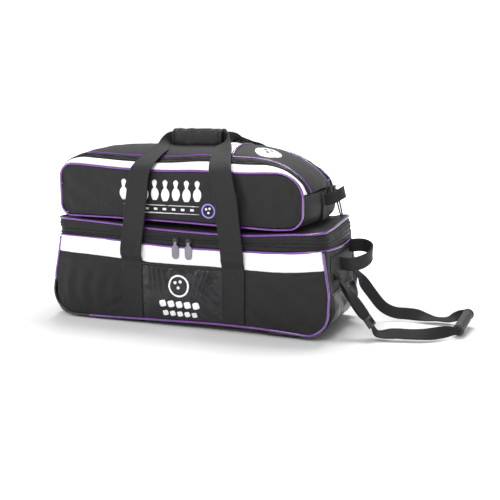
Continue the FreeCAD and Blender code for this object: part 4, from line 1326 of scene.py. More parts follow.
def finish_shoe_faces(made):
    """After the cloth run: creases over both panels, then the cord round each."""
    wave = 2 * math.pi
    cords = []
    for sign, (ob, shape) in made.items():
        which = "front" if sign < 0 else "back"
        P = read(ob.data).reshape(*shape, 3)
        bpy.data.objects.remove(ob)
        x, z = P[..., 0], P[..., 2]
        h = np.clip((z - SHOE_Z0) / (SHOE_Z1 - SHOE_Z0), 0, 1)
        right, left = ease((x - 0.10) / 0.03), ease((-0.13 - x) / 0.03)
        f = right * 0.0018 * np.sin((x + 0.012 * np.sin(z * 40)) * wave / 0.048 + 1.0)
        f += left * 0.0015 * np.sin((x * 0.6 + z * 0.9) * wave / 0.055)
        f += 0.0009 * np.sin((z - 0.1 * x) * wave / 0.045) * (1 - right) * (1 - left)
        f += 0.0006 * ripple(x, z, 85, 0.04)
        P[..., 1] += sign * f * np.sin(math.pi * h)
        ob = sheet("shoe_%s_cloth" % which, P, UV=P[..., [0, 2]], flip=sign > 0)
        thicken(refine(ob), 0.003)
        dress(ob, "black_polyester", "shoe_bag", "black_fabric", "shoe_%s_panel" % which)
        line = shoe_loop(sign * SHOE_Y, 0.0003)
        line[:, 1] = sign * (SHOE_Y - 0.0005)
        line = resample(np.concatenate([line, line[:1]]), 0.005)
        cords.append(cord("c", sag_shoe(line), 0.0026, closed=True))
    ob = merge("shoe_panel_cord", cords)
    dress(ob, "purple_vinyl", "shoe_bag", "purple_piping", "shoe_panel_piping")


def tape(points, width, across=(0, 1, 0)):
    """Ribbon stations that share a width and a width direction."""
    return [(p, across, width) for p in points]


def shoe_hardware():
    """Webbing down the shoe bag's right end, its grab loop and the cord pulls."""
    wall = SHOE_X1 + BULGE + 0.0006
    rx, rz = wall + 0.005, JOINTS["strap_ring_swing"]["pos_m"][2]
    mid, half = -0.012, 0.0225
    st = tape([(wall + 0.0008, mid, 0.243), (wall + 0.0016, mid, 0.262),
               (wall + 0.0012, mid, 0.283)], 0.052) + tape([(wall - 0.0030, mid, 0.301)], 0.050)
    down = ribbon("w", st, 0.0022, 8, 11, 0.0008, 0.0006)
    turn = ((-0.0020, -0.0006), (-0.0012, 0.0020), (0.0006, 0.0027), (0.0024, 0.0010),
            (0.0022, -0.0018), (-0.0002, -0.0060))
    fold = ([(wall + 0.0016, 0, 0.296), (wall + 0.0024, 0, 0.304)]
            + [(rx + dx, 0, rz + dz) for dx, dz in turn] + [(wall + 0.0046, 0, 0.296)])
    ob = merge("shoe_end_straps", [down, ribbon("w", tape(fold, 0.022), 0.0016, 5, 9)])
    dress(ob, "black_webbing", "shoe_bag", "black_webbing", "shoe_end_webbing")
    seam = wall + 0.0028
    lines = [[(seam, y, 0.246), (seam, y, 0.260), (seam, y, 0.280), (wall, y, 0.297)]
             for y in (mid - half, mid + half)]
    lines.append([(seam, y, 0.2465) for y in (mid - half, mid, mid + half)])
    stitches("shoe_strap_stitching", lines, "shoe_bag", "black_webbing")
    plan = [(-0.0105, 0.034, 0.286), (-0.0005, 0.034, 0.2865), (0.010, 0.0345, 0.290),
            (0.021, 0.033, 0.2955), (0.030, 0.026, 0.3005), (0.034, 0.012, 0.3030),
            (0.0335, 0.000, 0.3020), (0.029, -0.011, 0.2985), (0.020, -0.0165, 0.2930),
            (0.010, -0.0175, 0.2885), (-0.0005, -0.0165, 0.2860), (-0.0105, -0.0160, 0.2855)]
    st = tape([(wall + 0.0032 + dx, y, z) for dx, y, z in plan], 0.0255, (-0.20, -0.05, 0.97))
    ob = ribbon("shoe_grab_strap", st, 0.0022, 8, 13, 0.0006, 0.0006, 91)
    dress(ob, "black_webbing", None, "black_webbing", "shoe_grab_loop")
    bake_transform(ob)
    for name in ("front_zip_cord", "rear_zip_cord"):
        lo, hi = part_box(name)
        x, y = (lo.x + hi.x) / 2, (lo.y + hi.y) / 2
        low = lo.z - 0.006
        half_way = (hi.z + low) / 2
        pts = catmull([(x, y - 0.0012, hi.z), (x + 0.005, y - 0.0050, half_way + 0.004),
                       (x + 0.014, y - 0.0055, low + 0.004), (x + 0.0165, y, low),
                       (x + 0.015, y + 0.0055, low + 0.004),
                       (x + 0.007, y + 0.0050, half_way + 0.006), (x, y + 0.0012, hi.z)], 8)
        ob = cord(name + "_loop", pts, 0.0012, sides=8)
        dress(ob, "braided_cord", name, "zip_cord", name)


# ---- handles ----
WRAP_LO, WRAP_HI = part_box("grip_wrap")
CROWN_Z = (WRAP_LO.z + WRAP_HI.z) / 2 - 0.0026
CROWN_X = (WRAP_LO.x + WRAP_HI.x) / 2
WEB_THICK = 0.0026
TAIL_GAP = 0.0016  # from the body's face to the middle of the webbing on it
STAND_OFF = 0.0076  # lets the zip sliders and pulls pass beneath the legs


def leg(s, side):
    """Stations of a carrying handle's leg, from its fold to the grip; side -1 is the front."""
    y = HALF_W + TAIL_GAP
    out = y + STAND_OFF
    dip = 0.005 if side < 0 and s < 0 else 0.0
    turned, upright = (1, -0.1 * s * side, s * 0.06), (0.9, -0.2 * s * side, s * 0.4)
    raw = tape([(s * 0.127, y + 0.0036, FOLD_Z + 0.0080), (s * 0.127, out, FOLD_Z + 0.0172),
                (s * 0.1265, out + 0.0004, 0.172), (s * 0.1175, out + 0.0010, 0.230),
                (s * 0.1095 - 0.0006, out + 0.0004, 0.285),
                (s * 0.1005 - 0.0025, out - 0.003, 0.335)], WEB_W, (1, 0, 0))
    if side < 0:
        raw += tape([(s * 0.093 - 0.0045, 0.119, 0.362 - 0.3 * dip)], WEB_W, (1, 0, 0))
        shoulder, neck = 0.3905 - dip, 0.406 - 1.4 * dip
    else:
        raw += tape([(s * 0.096 - 0.0035, 0.1275, 0.370)], WEB_W, (1, 0, 0))
        raw += tape([(s * 0.092 - 0.0045, 0.112, 0.3945)], 0.048, (1, 0, 0))
        shoulder, neck = 0.4060, 0.4125
    raw += [((s * 0.0817 - 0.0077, 0.072, shoulder), turned, 0.044),
            ((s * 0.074 - 0.0105, 0.038, neck), upright, 0.036),
            ((s * 0.066 + CROWN_X, 0.006, CROWN_Z), (0.1, 0, s * 1.0), 0.031)]
    stations = []
    for (x, y, z), across, width in raw:
        low = float(ease((0.345 - z) / 0.06))
        x += STRAP_SHIFT[s] * float(ease((0.29 - z) / 0.12)) + 0.0015 * (s < 0) * low
        width *= 1 + 0.07 * low
        stations.append(((x, side * y, z), tuple(-s * c for c in across), width))
    return stations


def handle(side, body):
    """One carrying handle in a single length: tail, leg, grip, leg, tail."""
    legs = {s: leg(s, side) for s in (-1, 1)}
    middle = ((CROWN_X, side * 0.006, CROWN_Z), (0, 0, -1), 0.031)
    st = tail(-1, side) + legs[-1] + [middle] + legs[1][::-1] + tail(1, side)[::-1]
    ob = ribbon(body + "_strap", st, WEB_THICK, 10, 15, 0.0007, 0.0006, 95 + side)
    dress(ob, "black_webbing", None, "black_webbing", body, "handle_tails")
    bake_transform(ob)
    lines = []
    y = side * (HALF_W + 0.0003 + WEB_THICK + STAND_OFF + 0.0016)
    for s in (-1, 1):
        for z in (0.1715, 0.1745):
            lines.append([(s * 0.1267 + STRAP_SHIFT[s] + dx, y, z) for dx in (-0.0225, 0, 0.0225)])
        for dx in (-0.0232, 0.0232):
            lines.append(catmull([np.add(p, (dx, side * 0.0018, 0))
                                  for p, _, _ in legs[s][2:6]], 8))
    stitches(body + "_strap_stitching", lines, body, "black_webbing")


def wrap():
    """Padded cuff round the hand grip, open at its back where the rear strap comes out."""
    x0, x1 = WRAP_LO.x, WRAP_HI.x
    hy, hz = 0.0172, (WRAP_HI.z - WRAP_LO.z) / 2 - 0.0016
    nx, na, seam = 90, 72, 0.0065
    gap = math.radians(46)
    a = np.linspace(gap, 2 * math.pi - gap, na)[:, None]
    x = np.linspace(x0, x1, nx)[None, :]
    oy, oz = (np.sign(f) * np.abs(f) ** (2 / 2.9) for f in (np.cos(a), np.sin(a)))
    seams = sum(np.exp(-((d - seam) / 0.0016) ** 2) for d in (x - x0, x1 - x))
    inner = ease((x - x0 - 0.004) / 0.010) * ease((x1 - 0.004 - x) / 0.010)
    quilt = 0.00035 * np.sin((x - x0) * 2 * math.pi / 0.034 + 1.4 * np.sin(a * 2))
    r = inner * (0.0024 + quilt * np.abs(np.sin(a)) + 0.0007 * ripple(x, a * 0.02, 97, 0.03)
                 + 0.0016 * np.exp(-((a - math.pi / 2 - 0.35) / 0.22) ** 2)) - 0.0012 * seams
    P = stack(x, oy * (hy + r), CROWN_Z + oz * (hz - 0.0012 + r))
    ob = sheet("grip_wrap_pad", P, stack(x, a * 0.02))
    thicken(face_out(ob, (CROWN_X, 0, CROWN_Z)), 0.0036)
    dress(ob, "wrap_cloth", "front_handle", "wrap_padding", "grip_wrap")
    binds = [cord("b", stack(edge + 0 * a, oy * (hy + 0.0004), CROWN_Z + oz * (hz - 0.0008))[:, 0],
                  0.0026, sides=10) for edge in (x0 + 0.0008, x1 - 0.0008)]
    dress(merge("grip_wrap_bindings", binds), "black_webbing", "front_handle", "wrap_padding")
    j = int(round(seam / (x1 - x0) * (nx - 1)))
    lines = [P[:, col] * [1, 1.03, 1.03] - [0, 0, 0.03 * CROWN_Z] for col in (j, nx - 1 - j)]
    stitches("grip_wrap_stitching", lines, "front_handle", "wrap_padding")


def tail(s, side):
    """Stations of the sewn-down tail below a leg's fold."""
    y = side * (HALF_W + TAIL_GAP + 0.0001)
    x = s * STRAP_X + STRAP_SHIFT[s]
    foot = float(base_lift(x, -0.126)) * (1.0 if side < 0 else 0.4)
    heights = (0.0045 + foot, 0.02 + foot, 0.05, 0.08, 0.11, FOLD_Z - 0.009, FOLD_Z)
    return tape([(x, y, z) for z in heights], STRAP_W, (-s, 0, 0))


def tail_stitching():
    """Thread down both edges of each tail and across its top."""
    lines = []
    for side in (-1, 1):
        y = side * (HALF_W + 0.0034)
        for s in (-1, 1):
            x = s * STRAP_X + STRAP_SHIFT[s]
            foot = float(base_lift(x, -0.126))
            for dx in (-0.0232, 0.0232):
                lines.append([(x + dx, y, z) for z in (0.012 + foot, 0.07, FOLD_Z - 0.012)])
            lines.append([(x + dx, y, 0.126) for dx in (-0.0215, 0.0215)])
    stitches("handle_tail_stitching", lines, "ball_bag", "black_webbing")


# ---- pocket between the straps ----
PLEATS = ((0.10, 0.011, 3.0, 0.05), (0.16, 0.009, 3.4, 0.07), (0.22, 0.011, 3.2, 0.10),
          (0.29, 0.013, 2.4, 0.12), (0.37, 0.016, 1.5, 0.14), (0.72, 0.018, 1.8, -0.16),
          (0.81, 0.013, 2.6, -0.22), (0.88, 0.011, 3.0, -0.26),
          (0.94, 0.010, 2.2, -0.30))  # place, width, height in 1.5 mm steps, lean


def pocket():
    """Thin cloth pocket, gathered into pleats under its binding."""
    lo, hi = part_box("mesh_pocket")
    front = surface_of("lower_front_cloth", "white_band_cloth")
    nx, nz = ((150, 90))
    left, right = lo.x + STRAP_SHIFT[-1] * 0.5, hi.x + STRAP_SHIFT[1]
    bx = np.linspace(left, right, nx)
    x = bx[None, :] + np.zeros((nz, 1))
    t = np.linspace(0, 1, nz)[:, None] + np.zeros((1, nx))
    foot = base_lift(bx, -0.126)
    top = 0.1335 + 0.6 * band_lift(bx)
    z = 0.0042 + foot + (top - 0.0042 - foot) * t
    pts = np.stack([x, np.full(x.shape, -0.2), z], 2)
    y = drop_on(front, pts.reshape(-1, 3), (0, 1, 0), 0.0004).reshape(nz, nx, 3)[..., 1]
    y = np.where(y < -0.19, -HALF_W, y)
    u = (x - left) / (right - left)
    side = ease(np.minimum(u, 1 - u) / 0.06)
    ends = ease(t / 0.07) * ease((1 - t) / 0.03)
    belly = 0.0035 * np.sin(math.pi * u) * np.sin(math.pi * t) ** 0.7
    pleat = sum(amp * 1.5e-3 * np.exp(-((u - place - lean * (1 - t)) / w) ** 2)
                for place, w, amp, lean in PLEATS)
    pleat = pleat * ease((t - 0.25) / 0.6) * ease((1 - t) / 0.02)
    drag = 0.0016 * np.sin((u * 1.3 + t * 0.9) * 2 * math.pi * 3.2) * ease((u - 0.5) / 0.3)
    off = (belly + pleat + drag + 0.0007 * ripple(x, z, 103, 0.045)) * side * ends
    P = np.stack([x, y - 0.0012 - np.maximum(off, -0.0006), z], 2)
    field = thicken(face_out(sheet("pocket", P, UV=P[..., [0, 2]]), (0, 0.5, 0.07)), 0.0010)
    bt = np.linspace(-1, 1, 9)[:, None]
    bulge = (1 - bt ** 2) * (0.0012 + 0.0005 * np.sin(bx * 2 * math.pi / 0.022))
    B = stack(bx[None, :], -HALF_W - 0.0016 - bulge, top + 0.0034 + bt * 0.0034)
    bind = thicken(face_out(sheet("bind", B, UV=B[..., [0, 2]]), (0, 0.5, 0.13)), 0.0016)
    ob = merge("front_pocket_cloth", [field, bind])
    dress(ob, "pocket_cloth", "ball_bag", "pocket_mesh", "mesh_pocket")
    line = [(v, -HALF_W - 0.0034, np.interp(v, bx, top) + 0.0012)
            for v in np.linspace(left + 0.002, right - 0.002, 60)]
    stitches("pocket_stitching", [line], "ball_bag", "pocket_mesh")


# ---- pull-strap end ----
PULL_X, PULL_Z = JOINTS["pull_strap_lift"]["pos_m"][::2]
NEAR_Y, FAR_Y = -0.060, 0.062
PULL_W = 0.028


def end_pocket():
    """Shiny bellows pocket low on the end, with a bound top."""
    lo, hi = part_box("end_pocket")
    ny, nz = ((96, 50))
    line = end_profile(0.12)
    line = resample_n(line[(line[:, 2] >= lo.z) & (line[:, 2] <= hi.z)], nz)
    t = np.linspace(0, 1, nz)[:, None]
    v = np.linspace(-1, 1, ny)[None, :]
    yy = v * hi.y
    puff = (0.0080 + 0.0045 * ease(v / 0.9)) * (1 - np.abs(v) ** 5)
    puff = puff * np.sin(math.pi * (0.10 + 0.82 * t)) ** 0.6
    puff += 0.011 * np.exp(-((v - 0.80) / 0.20) ** 2) * ease(t / 0.6) * ease((1.02 - v) / 0.12)
    crease = 0.0022 * np.sin(yy * 75 + t * 3.0) * np.sin(math.pi * t)
    crease += 0.0016 * np.sin((yy * 0.6 + t * 0.06) * 180 + 1.0) * t
    crease = crease * (1 - v ** 4)
    edge = ease(np.minimum(np.minimum(t, 1.02 - t) / 0.06, (1 - np.abs(v)) / 0.05))
    off = 0.0012 + puff * 0.8 + crease * 0.8 + 0.0005 * ripple(yy, t * 0.07, 111, 0.03)
    P = line[:, None] + outward(line)[:, None, :] * (0.0008 + off * edge)[..., None]
    P[..., 1] = yy
    ob = thicken(face_out(sheet("pocket", P, UV=stack(yy, t * 0.07)), (0.25, 0, 0.06)), 0.0012)
    bind = cord("b", P[-1] + np.array([0.0006, 0, 0.0006]), 0.0028, sides=10)
    ob = merge("end_pocket_cloth", [ob, bind])
    dress(ob, "pocket_cloth", "ball_bag", "black_fabric", "end_pocket")


def anchors():
    """Reinforcement patch, the pull strap's folded tabs with their bars, and the stitching."""
    parts, lines = [], []
    for y in (NEAR_Y, FAR_Y):
        up = [(half_length(z) + out, y, z) for z, out in ((0.146, 0.0012), (0.136, 0.0018))]
        turn = [(PULL_X + dx, y, PULL_Z + dz) for dx, dz in (
            (-0.0035, 0.0045), (0.0012, 0.0048), (0.0050, 0), (0.0012, -0.0048),
            (-0.0035, -0.0042))]
        down = [(half_length(0.112) + 0.0018, y, 0.113), (half_length(0.104) + 0.0012, y, 0.104)]
        parts.append(ribbon("f", tape(up + turn + down, PULL_W), 0.0020, 6, 9))
        parts.append(cord("bar", [(PULL_X, y + dy, PULL_Z) for dy in (-0.0145, 0, 0.0145)],
                          0.0030))
        for z in (0.1395, 0.1435):
            lines.append([(half_length(z) + 0.0032, y + dy, z) for dy in (-0.012, 0, 0.012)])
    lo, hi = 0.097, 0.171
    z = np.linspace(lo, hi, 24)[:, None]
    y = np.linspace(-0.088, 0.094, 60)[None, :]
    out = (half_length(z) + wall_off(y, z) + 0.0016 + 0.0004 * ripple(y, z, 121, 0.04)
           + 0.0028 * np.sin(math.pi * (z - lo) / (hi - lo)) * (1 - (y / 0.1) ** 2))
    P = stack(out, y, z)
    parts.append(thicken(face_out(sheet("p", P, UV=P[..., 1:]), (0.2, 0, 0.13)), 0.0016))
    ob = merge("end_anchor_webbing", parts)
    dress(ob, "end_webbing", "ball_bag", "black_webbing", "end_anchors")
    for z in (0.101, 0.167):
        lines.append([(half_length(z) + float(wall_off(y, z)) + 0.0034, y, z)
                      for y in np.linspace(-0.084, 0.090, 30)])
    stitches("end_anchor_stitching", lines, "ball_bag", "black_webbing")


def end_trim():
    """Dark binding tube beside the purple cord, from the corner up past the end pocket."""
    full = end_profile(0.17)
    parts = []
    for sign in (-1, 1):
        line = full[(full[:, 2] > 0.012) & (full[:, 2] < 0.160)] + [0.0016, 0, 0]
        t = np.linspace(0, 1, len(line))
        line[:, 1] = sign * (HALF_W - 0.012 - 0.010 * np.sin(math.pi * t))
        parts.append(cord("c", resample(line, 0.004), 0.0028))
    dress(merge("end_corner_binding", parts), "black_webbing", "ball_bag", "black_fabric")


def end_grab():
    """Grab loop on the body's end: its rear arm leaves high, its front arm hangs lower."""
    plan = [(0.330, 0.0775, 0.1715), (0.340, 0.078, 0.172), (0.351, 0.0790, 0.1735),
            (0.366, 0.0770, 0.1735), (0.381, 0.067, 0.171), (0.3905, 0.052, 0.166),
            (0.392, 0.037, 0.160), (0.386, 0.020, 0.1525), (0.373, 0.006, 0.146),
            (0.356, -0.0045, 0.143), (0.340, -0.0070, 0.1435), (0.330, -0.0065, 0.1445)]
    wide = catmull([(0.0, -0.31, 0.95), (0.10, -0.31, 0.94), (0.0, -0.30, 0.90),
                    (-0.25, -0.30, 0.92)], 3)
    st = [(c, wide[int(round(i * 9 / 11))], 0.034) for i, c in enumerate(plan)]
    ob = ribbon("end_grab_strap", st, 0.0024, 8, 13, 0.0006, 0.0006, 91)
    dress(ob, "end_webbing", None, "black_webbing", "grab_loop")
    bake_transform(ob)


def pull_straps():
    """Two legs of webbing: straight down from the anchors, then on edge along the floor."""
    bx, bz = 0.432, 0.004  # where the legs turn on to the floor
    g0, g1 = np.array([0.588, 0.014, 0.0065]), np.array([0.602, 0.126, 0.024])  # grip's ends
    axis = unit(g1 - g0)
    flat, edge, w = (0, 1, 0), (0, 0, 1), PULL_W
    turned, lying, facing = (0.30, 0.88, 0.36), (0.05, 0.80, 0.60), (0.58, 0.66, 0.48)

    def slope(y_top, y_foot):
        """A leg's top, foot and direction."""
        top, foot = np.array([PULL_X, y_top, PULL_Z]), np.array([bx, y_foot, bz])
        return top, foot, unit(foot - top)

    top, foot, run = slope(NEAR_Y, NEAR_Y)
    near = [(top + run * 0.006, flat, w), (top + run * 0.030, flat, w),
            (top + run * 0.065, turned, w), (top + run * 0.100, turned, w),
            (top + run * 0.122, flat, w), (foot - run * 0.016 + [-0.002, 0, 0], flat, w),
            ((bx - 0.0045, -0.0600, bz + 0.0035), (0.1, 1, 0.2), w),
            ((bx + 0.008, -0.0585, 0.0058), (0.05, 0.90, 0.44), w)]
    near += tape([(bx + 0.024, -0.0550, 0.0078), (bx + 0.040, -0.0515, 0.0088),
                  (bx + 0.058, -0.0465, 0.0080), (bx + 0.080, -0.0400, 0.0078)], w, lying)
    near += [((bx + 0.103, -0.0290, 0.0080), (0, 0.72, 0.69), w),
             ((bx + 0.122, -0.0130, 0.0088), (-0.1, 0.6, 0.8), 0.027),
             ((bx + 0.140, 0.0040, 0.0090), (-0.1, 0.3, 0.95), 0.023),
             (g0 + axis * 0.003 + [0.001, 0, 0], edge, 0.013)]
    back = np.array([-run[2], 0, run[0]]) * -0.0034
    loose = [(top + run * 0.012 + back, flat, 0.026),
             (top + run * 0.035 + back * 1.5, (0.2, 0.9, 0.1), 0.026),
             (top + run * 0.065 + back * 2.2 + [0, -0.003, 0], (0.1, 0.95, 0.0), 0.026),
             (top + run * 0.092 + back * 1.6 + [0, -0.002, 0], (0.2, 0.9, 0.2), 0.026),
             (top + run * 0.112 + back, flat, 0.026)]
    top, foot, run = slope(FAR_Y, 0.112)
    far = [(top + run * 0.009, flat, w), (top + run * 0.030, (0.15, 0.96, 0.15), w)]
    far += tape([top + run * 0.055 + [-0.004, 0, 0], top + run * 0.085 + [-0.007, 0, 0],
                 foot - run * 0.040 + [-0.007, 0, -0.002]], w, facing)
    far += [(foot - run * 0.018 + [-0.003, 0, 0.001], (0.45, 0.62, 0.62), w),
            ((bx + 0.006, 0.1125, 0.0115), (0.15, 0.50, 0.85), w),
            ((bx + 0.026, 0.1145, 0.0108), (0, 0.35, 0.93), w),
            ((bx + 0.050, 0.1160, 0.0100), (0, 0.45, 0.88), w),
            ((bx + 0.074, 0.1175, 0.0062), (0, 0.85, 0.50), w),
            ((bx + 0.098, 0.1190, 0.0032), (0, 0.99, 0.12), w),
            ((bx + 0.124, 0.1210, 0.0042), (0, 0.95, 0.25), w),
            ((g1[0] - 0.030, 0.1235, 0.0115), (0, 0.6, 0.8), 0.024),
            ((g1[0] - 0.012, g1[1] - 0.002, 0.0215), (0, -0.1, 1), 0.018),
            (g1 - axis * 0.003 + [0.001, 0, 0], edge, 0.013)]
    for name, stations, seed, nodes in (
            ("near_pull_strap", near, 131, ("pull_strap_upper", "pull_strap_lower")),
            ("far_pull_strap", far, 133, ())):
        ob = ribbon(name, stations, 0.0022, 10, 11, 0.0002, 0.0003, seed)
        dress(ob, "black_webbing", None, "black_webbing", *nodes)
        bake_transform(ob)
    ob = ribbon("pull_strap_return", loose, 0.0020, 10, 9, 0.0002, 0.0005, 135)
    dress(ob, "black_webbing", "upper_pull_strap", "black_webbing")
    core = cord("grip_core_cord", [g0, (g0 + g1) / 2, g1], 0.0068, sides=14)
    dress(core, "black_webbing", "lower_pull_strap", "black_webbing")


def inside_parts():
    """Thin padded dividers between the balls."""
    lo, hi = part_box("ball_dividers")
    y = np.linspace(lo.y, hi.y, 40)[None, :]
    z = np.linspace(lo.z, hi.z, 24)[:, None]
    bend = 0.0012 * np.sin(y * 24) * np.sin(math.pi * (z - lo.z) / (hi.z - lo.z))
    parts = []
    for s in (-1, 1):
        P = stack(s * (hi.x - 0.0012) + 0.0012 + bend, y, z)
        parts.append(thicken(sheet("d", P, UV=P[..., 1:]), 0.0024))
    dress(merge("divider_pads", parts), "black_lining", "ball_bag", "divider_pad",
          "ball_dividers")


# ---- printed marks: plain discs, bars and pins, no lettering ----
PRINTS = {"print_white": "white_fabric", "print_violet": "purple_piping",
          "print_dark": "black_fabric"}


def laid(name, shapes, mat, piece, top=False, lift=0.0004):
    """Flat shapes laid on a piece of cloth: (x, z) outlines from the front, (x, y) from above."""
    tree = surface_of(piece)
    steps, away = (7, 0.5) if top else (5, -0.2)
    parts = []
    for outer, inner in shapes:
        rows = []
        for f in np.linspace(0, 1, steps):
            q = np.asarray(inner) * (1 - f) + np.asarray(outer) * f
            pts = np.insert(q, 2 if top else 1, away, axis=1)
            rows.append(drop_on(tree, pts, (0, 0, -1) if top else (0, 1, 0), lift))
        P = np.array(rows)
        ob = sheet("m", P, UV=P[..., :2] if top else P[..., [0, 2]], loop=True)
        parts.append(thicken(face_out(ob, (0.1, 0, 0) if top else (0, 0.5, 0.2)), 0.0006))
    dress(merge(name, parts), mat, "ball_bag" if "pocket" in piece else "shoe_bag", PRINTS[mat])


def ring_shape(cx, cy, r_out, r_in, n=40):
    """Ring, or a disc when its hole is tiny, as its outer and inner outline."""
    a = np.linspace(0, 2 * math.pi, n, endpoint=False)
    round_about = np.stack([np.cos(a), np.sin(a)], 1)
    return round_about * r_out + (cx, cy), round_about * r_in + (cx, cy)


def holes_at(cx, cy, r, n, places):
    """A ball's three finger holes as small discs."""
    return [ring_shape(cx + dx, cy + dy, r, r * 0.08, n) for dx, dy in places]


def bar_shape(cx, cz, w, h, turn=0.0):
    """Rounded bar as a filled outline round its own middle."""
    a = np.linspace(0, 2 * math.pi, 24, endpoint=False)
    ox, oz = (np.sign(f) * np.abs(f) ** 0.5 * d / 2 for f, d in ((np.cos(a), w), (np.sin(a), h)))
    c, s = math.cos(turn), math.sin(turn)
    P = np.stack([cx + ox * c - oz * s, cz + ox * s + oz * c], 1)
    return P, (P - (cx, cz)) * 0.04 + (cx, cz)


def pin_shape(cx, foot, h):
    """Silhouette of a bowling pin standing at foot."""
    t = np.linspace(0, 1, 16)
    w = h * (0.10 + 0.115 * np.sin(np.clip(t / 0.62, 0, 1) * math.pi) ** 0.9
             + 0.035 * np.exp(-((t - 0.86) / 0.08) ** 2)
             - 0.055 * np.exp(-((t - 0.68) / 0.1) ** 2))
    w[-1] *= 0.35
    right = np.stack([cx + w, foot + t * h], 1)
    left = np.stack([cx - w, foot + t * h], 1)[::-1]
    P = np.concatenate([right, left])
    mid = np.array([cx, foot + h * 0.45])
    return P, mid + (P - mid) * 0.03


def marks():
    """Pins over a lane and a ball on the shoe bag, a disc on its top, a ball on the pocket."""
    shoe = "shoe_front_cloth"
    pins = [pin_shape(-0.1480 + i * 0.0262, 0.2800 + 0.0018 * (i % 2), 0.047 - 0.0015 * (i % 2))
            for i in range(8)]
    laid("shoe_print_pins", pins, "print_white", shoe)
    rows = [bar_shape(-0.091 + i * 0.0225, 0.2620, 0.0090, 0.0052) for i in range(6)]
    rows += [bar_shape(-0.055, z, 0.190, 0.0014) for z in (0.2705, 0.2530)]
    laid("shoe_print_rows", rows, "print_white", shoe)
    ball = (0.061, 0.262)
    laid("shoe_print_ball", [ring_shape(*ball, 0.0165, 0.0132)], "print_violet", shoe)
    laid("shoe_print_ball_holes", holes_at(*ball, 0.0026, 14, (
        (-0.0050, 0.004), (0.0030, 0.0055), (0.0, -0.0040))), "print_white", shoe)
    disc = (0.170, -0.034)
    laid("shoe_print_disc", [ring_shape(*disc, 0.030, 0.0004, 48)], "print_white",
         "shoe_top_cloth", True)
    laid("shoe_print_disc_holes", holes_at(*disc, 0.0040, 16, (
        (-0.0095, 0.0070), (0.0035, 0.0105), (-0.0010, -0.0045))), "print_dark",
         "shoe_top_cloth", True, 0.0012)
    cx, cz = -0.006, 0.092
    laid("pocket_print_ring", [ring_shape(cx, cz, 0.0255, 0.0214, 56)], "print_white",
         "front_pocket_cloth")
    rows = [bar_shape(cx - 0.041 + i * 0.0205, 0.0490, 0.0160, 0.0155, 0.25) for i in range(5)]
    rows += [bar_shape(cx - 0.036 + i * 0.0180, 0.0265, 0.0135, 0.0120, 0.25) for i in range(5)]
    laid("pocket_print_holes", holes_at(cx, cz, 0.0036, 16, (
        (-0.0085, 0.0075), (0.0040, 0.0100), (-0.0010, -0.0040))) + rows, "print_white",
         "front_pocket_cloth")


# ---- build everything ----
faces = {s: lower_face(s) for s in (-1, 1)}
shoe_faces = {s: shoe_face(s) for s in (-1, 1)}
run_cloth(20)
finish_faces(faces)
finish_shoe_faces(shoe_faces)
end_sheet(-1)
end_sheet(1)
base_sheet()
body_cords()
rim_cords()
zips()
lid_parts()
shoe_strips()
shoe_ends()
shoe_hardware()
handle(-1, "front_handle")
handle(1, "rear_handle")
wrap()
tail_stitching()
pocket()
end_pocket()
anchors()
end_trim()
pull_straps()
inside_parts()
end_grab()
marks()

CAD_LOOKS = {
    "base_board": "board_plastic", "ball_tray": "tray_foam", "wheel_housing": "black_plastic",
    "wheel_axles": "steel", "foot_strip": "black_plastic", "rubber_feet": "foot_rubber",
    "base_screws": "steel", "front_wheel_tyre": "tyre_urethane", "front_wheel_hub": "hub_plastic",
    "rear_wheel_tyre": "tyre_urethane", "rear_wheel_hub": "hub_plastic",
    "shoe_zip_sliders": "dark_metal", "left_zip_slider": "dark_metal",
    "left_zip_pull": "pull_metal", "right_zip_slider": "dark_metal",
    "right_zip_pull": "pull_metal", "strap_ring": "black_plastic", "pull_grip": "grip_rubber",
    "strap_adjuster": "black_plastic",
}
for node, look in CAD_LOOKS.items():
    mesh = NODES[node].data
    mesh.materials.clear()
    mesh.materials.append(MATS[look])
    for p in mesh.polygons:
        p.material_index = 0

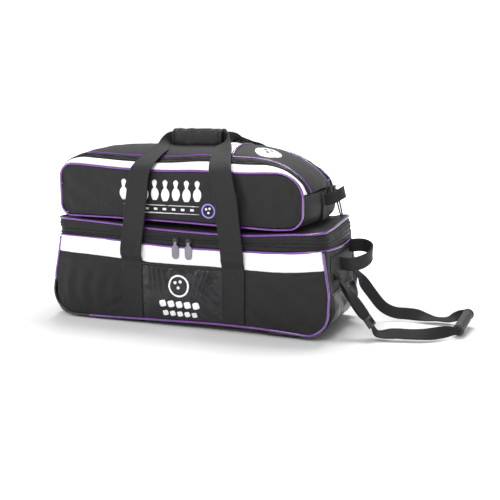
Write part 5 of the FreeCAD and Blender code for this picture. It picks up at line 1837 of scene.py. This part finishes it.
# ---- floor, light and camera ----
FLOOR_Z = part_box("rubber_feet")[0].z
bpy.ops.mesh.primitive_plane_add(size=30, location=(0, 0, FLOOR_Z - 0.0002))
floor = bpy.context.object
floor.name = "floor"
g = Graph("pale_floor")
g.feed(Base_Color=(0.76, 0.76, 0.76, 1), Roughness=0.8, Emission_Color=(1, 1, 1, 1))
far = g.node("ShaderNodeVectorMath", operation="LENGTH")
g.link(g.coord.outputs["Object"], far.inputs[0])
glow = g.node("ShaderNodeMapRange", interpolation_type="SMOOTHSTEP")
for socket, value in (("From Min", 0.45), ("From Max", 1.3), ("To Min", 0.0), ("To Max", 1.0)):
    glow.inputs[socket].default_value = value
g.link(far.outputs["Value"], glow.inputs["Value"])
g.feed(Emission_Strength=glow.outputs[0])
floor.data.materials.append(g.mat)

world = bpy.data.worlds.new("studio")
bpy.context.scene.world = world
world.use_nodes = True
wt = world.node_tree
seen = wt.nodes.new("ShaderNodeLightPath")
level = wt.nodes.new("ShaderNodeMapRange")
level.inputs["To Min"].default_value = 0.50
level.inputs["To Max"].default_value = 1.02
wt.links.new(seen.outputs["Is Camera Ray"], level.inputs["Value"])
wt.nodes["Background"].inputs[0].default_value = (1, 1, 1, 1)
wt.links.new(level.outputs[0], wt.nodes["Background"].inputs[1])


def area(name, place, target, size, power):
    """Soft rectangular light aimed at a point."""
    data = bpy.data.lights.new(name, "AREA")
    data.shape = "RECTANGLE"
    data.size, data.size_y = size
    data.energy = power
    ob = bpy.data.objects.new(name, data)
    bpy.context.scene.collection.objects.link(ob)
    ob.location = place
    ob.rotation_euler = (Vector(target) - Vector(place)).to_track_quat("-Z", "Y").to_euler()


area("key", (0.15, -2.3, 1.9), (0.0, 0, 0.2), (1.6, 1.0), 44)
area("fill", (-2.2, -1.4, 1.3), (0, 0, 0.15), (1.4, 1.4), 20)
area("top", (0.0, 0.75, 2.5), (0.05, 0, 0.2), (1.8, 1.0), 66)

scene = bpy.context.scene
scene.view_settings.view_transform = "Standard"
scene.view_settings.exposure = 0.0
cam = bpy.data.cameras.new("camera")
cam.lens = 55.47
cam.sensor_width = 36
eye = bpy.data.objects.new("camera", cam)
scene.collection.objects.link(eye)
yaw, pitch = math.radians(20.9), math.radians(10.1)
eye.location = (0.7439, -1.6524, 0.4742)
level_way = math.cos(pitch)
look = Vector((-math.sin(yaw) * level_way, math.cos(yaw) * level_way, -math.sin(pitch)))
eye.rotation_euler = look.to_track_quat("-Z", "Y").to_euler()
scene.camera = eye
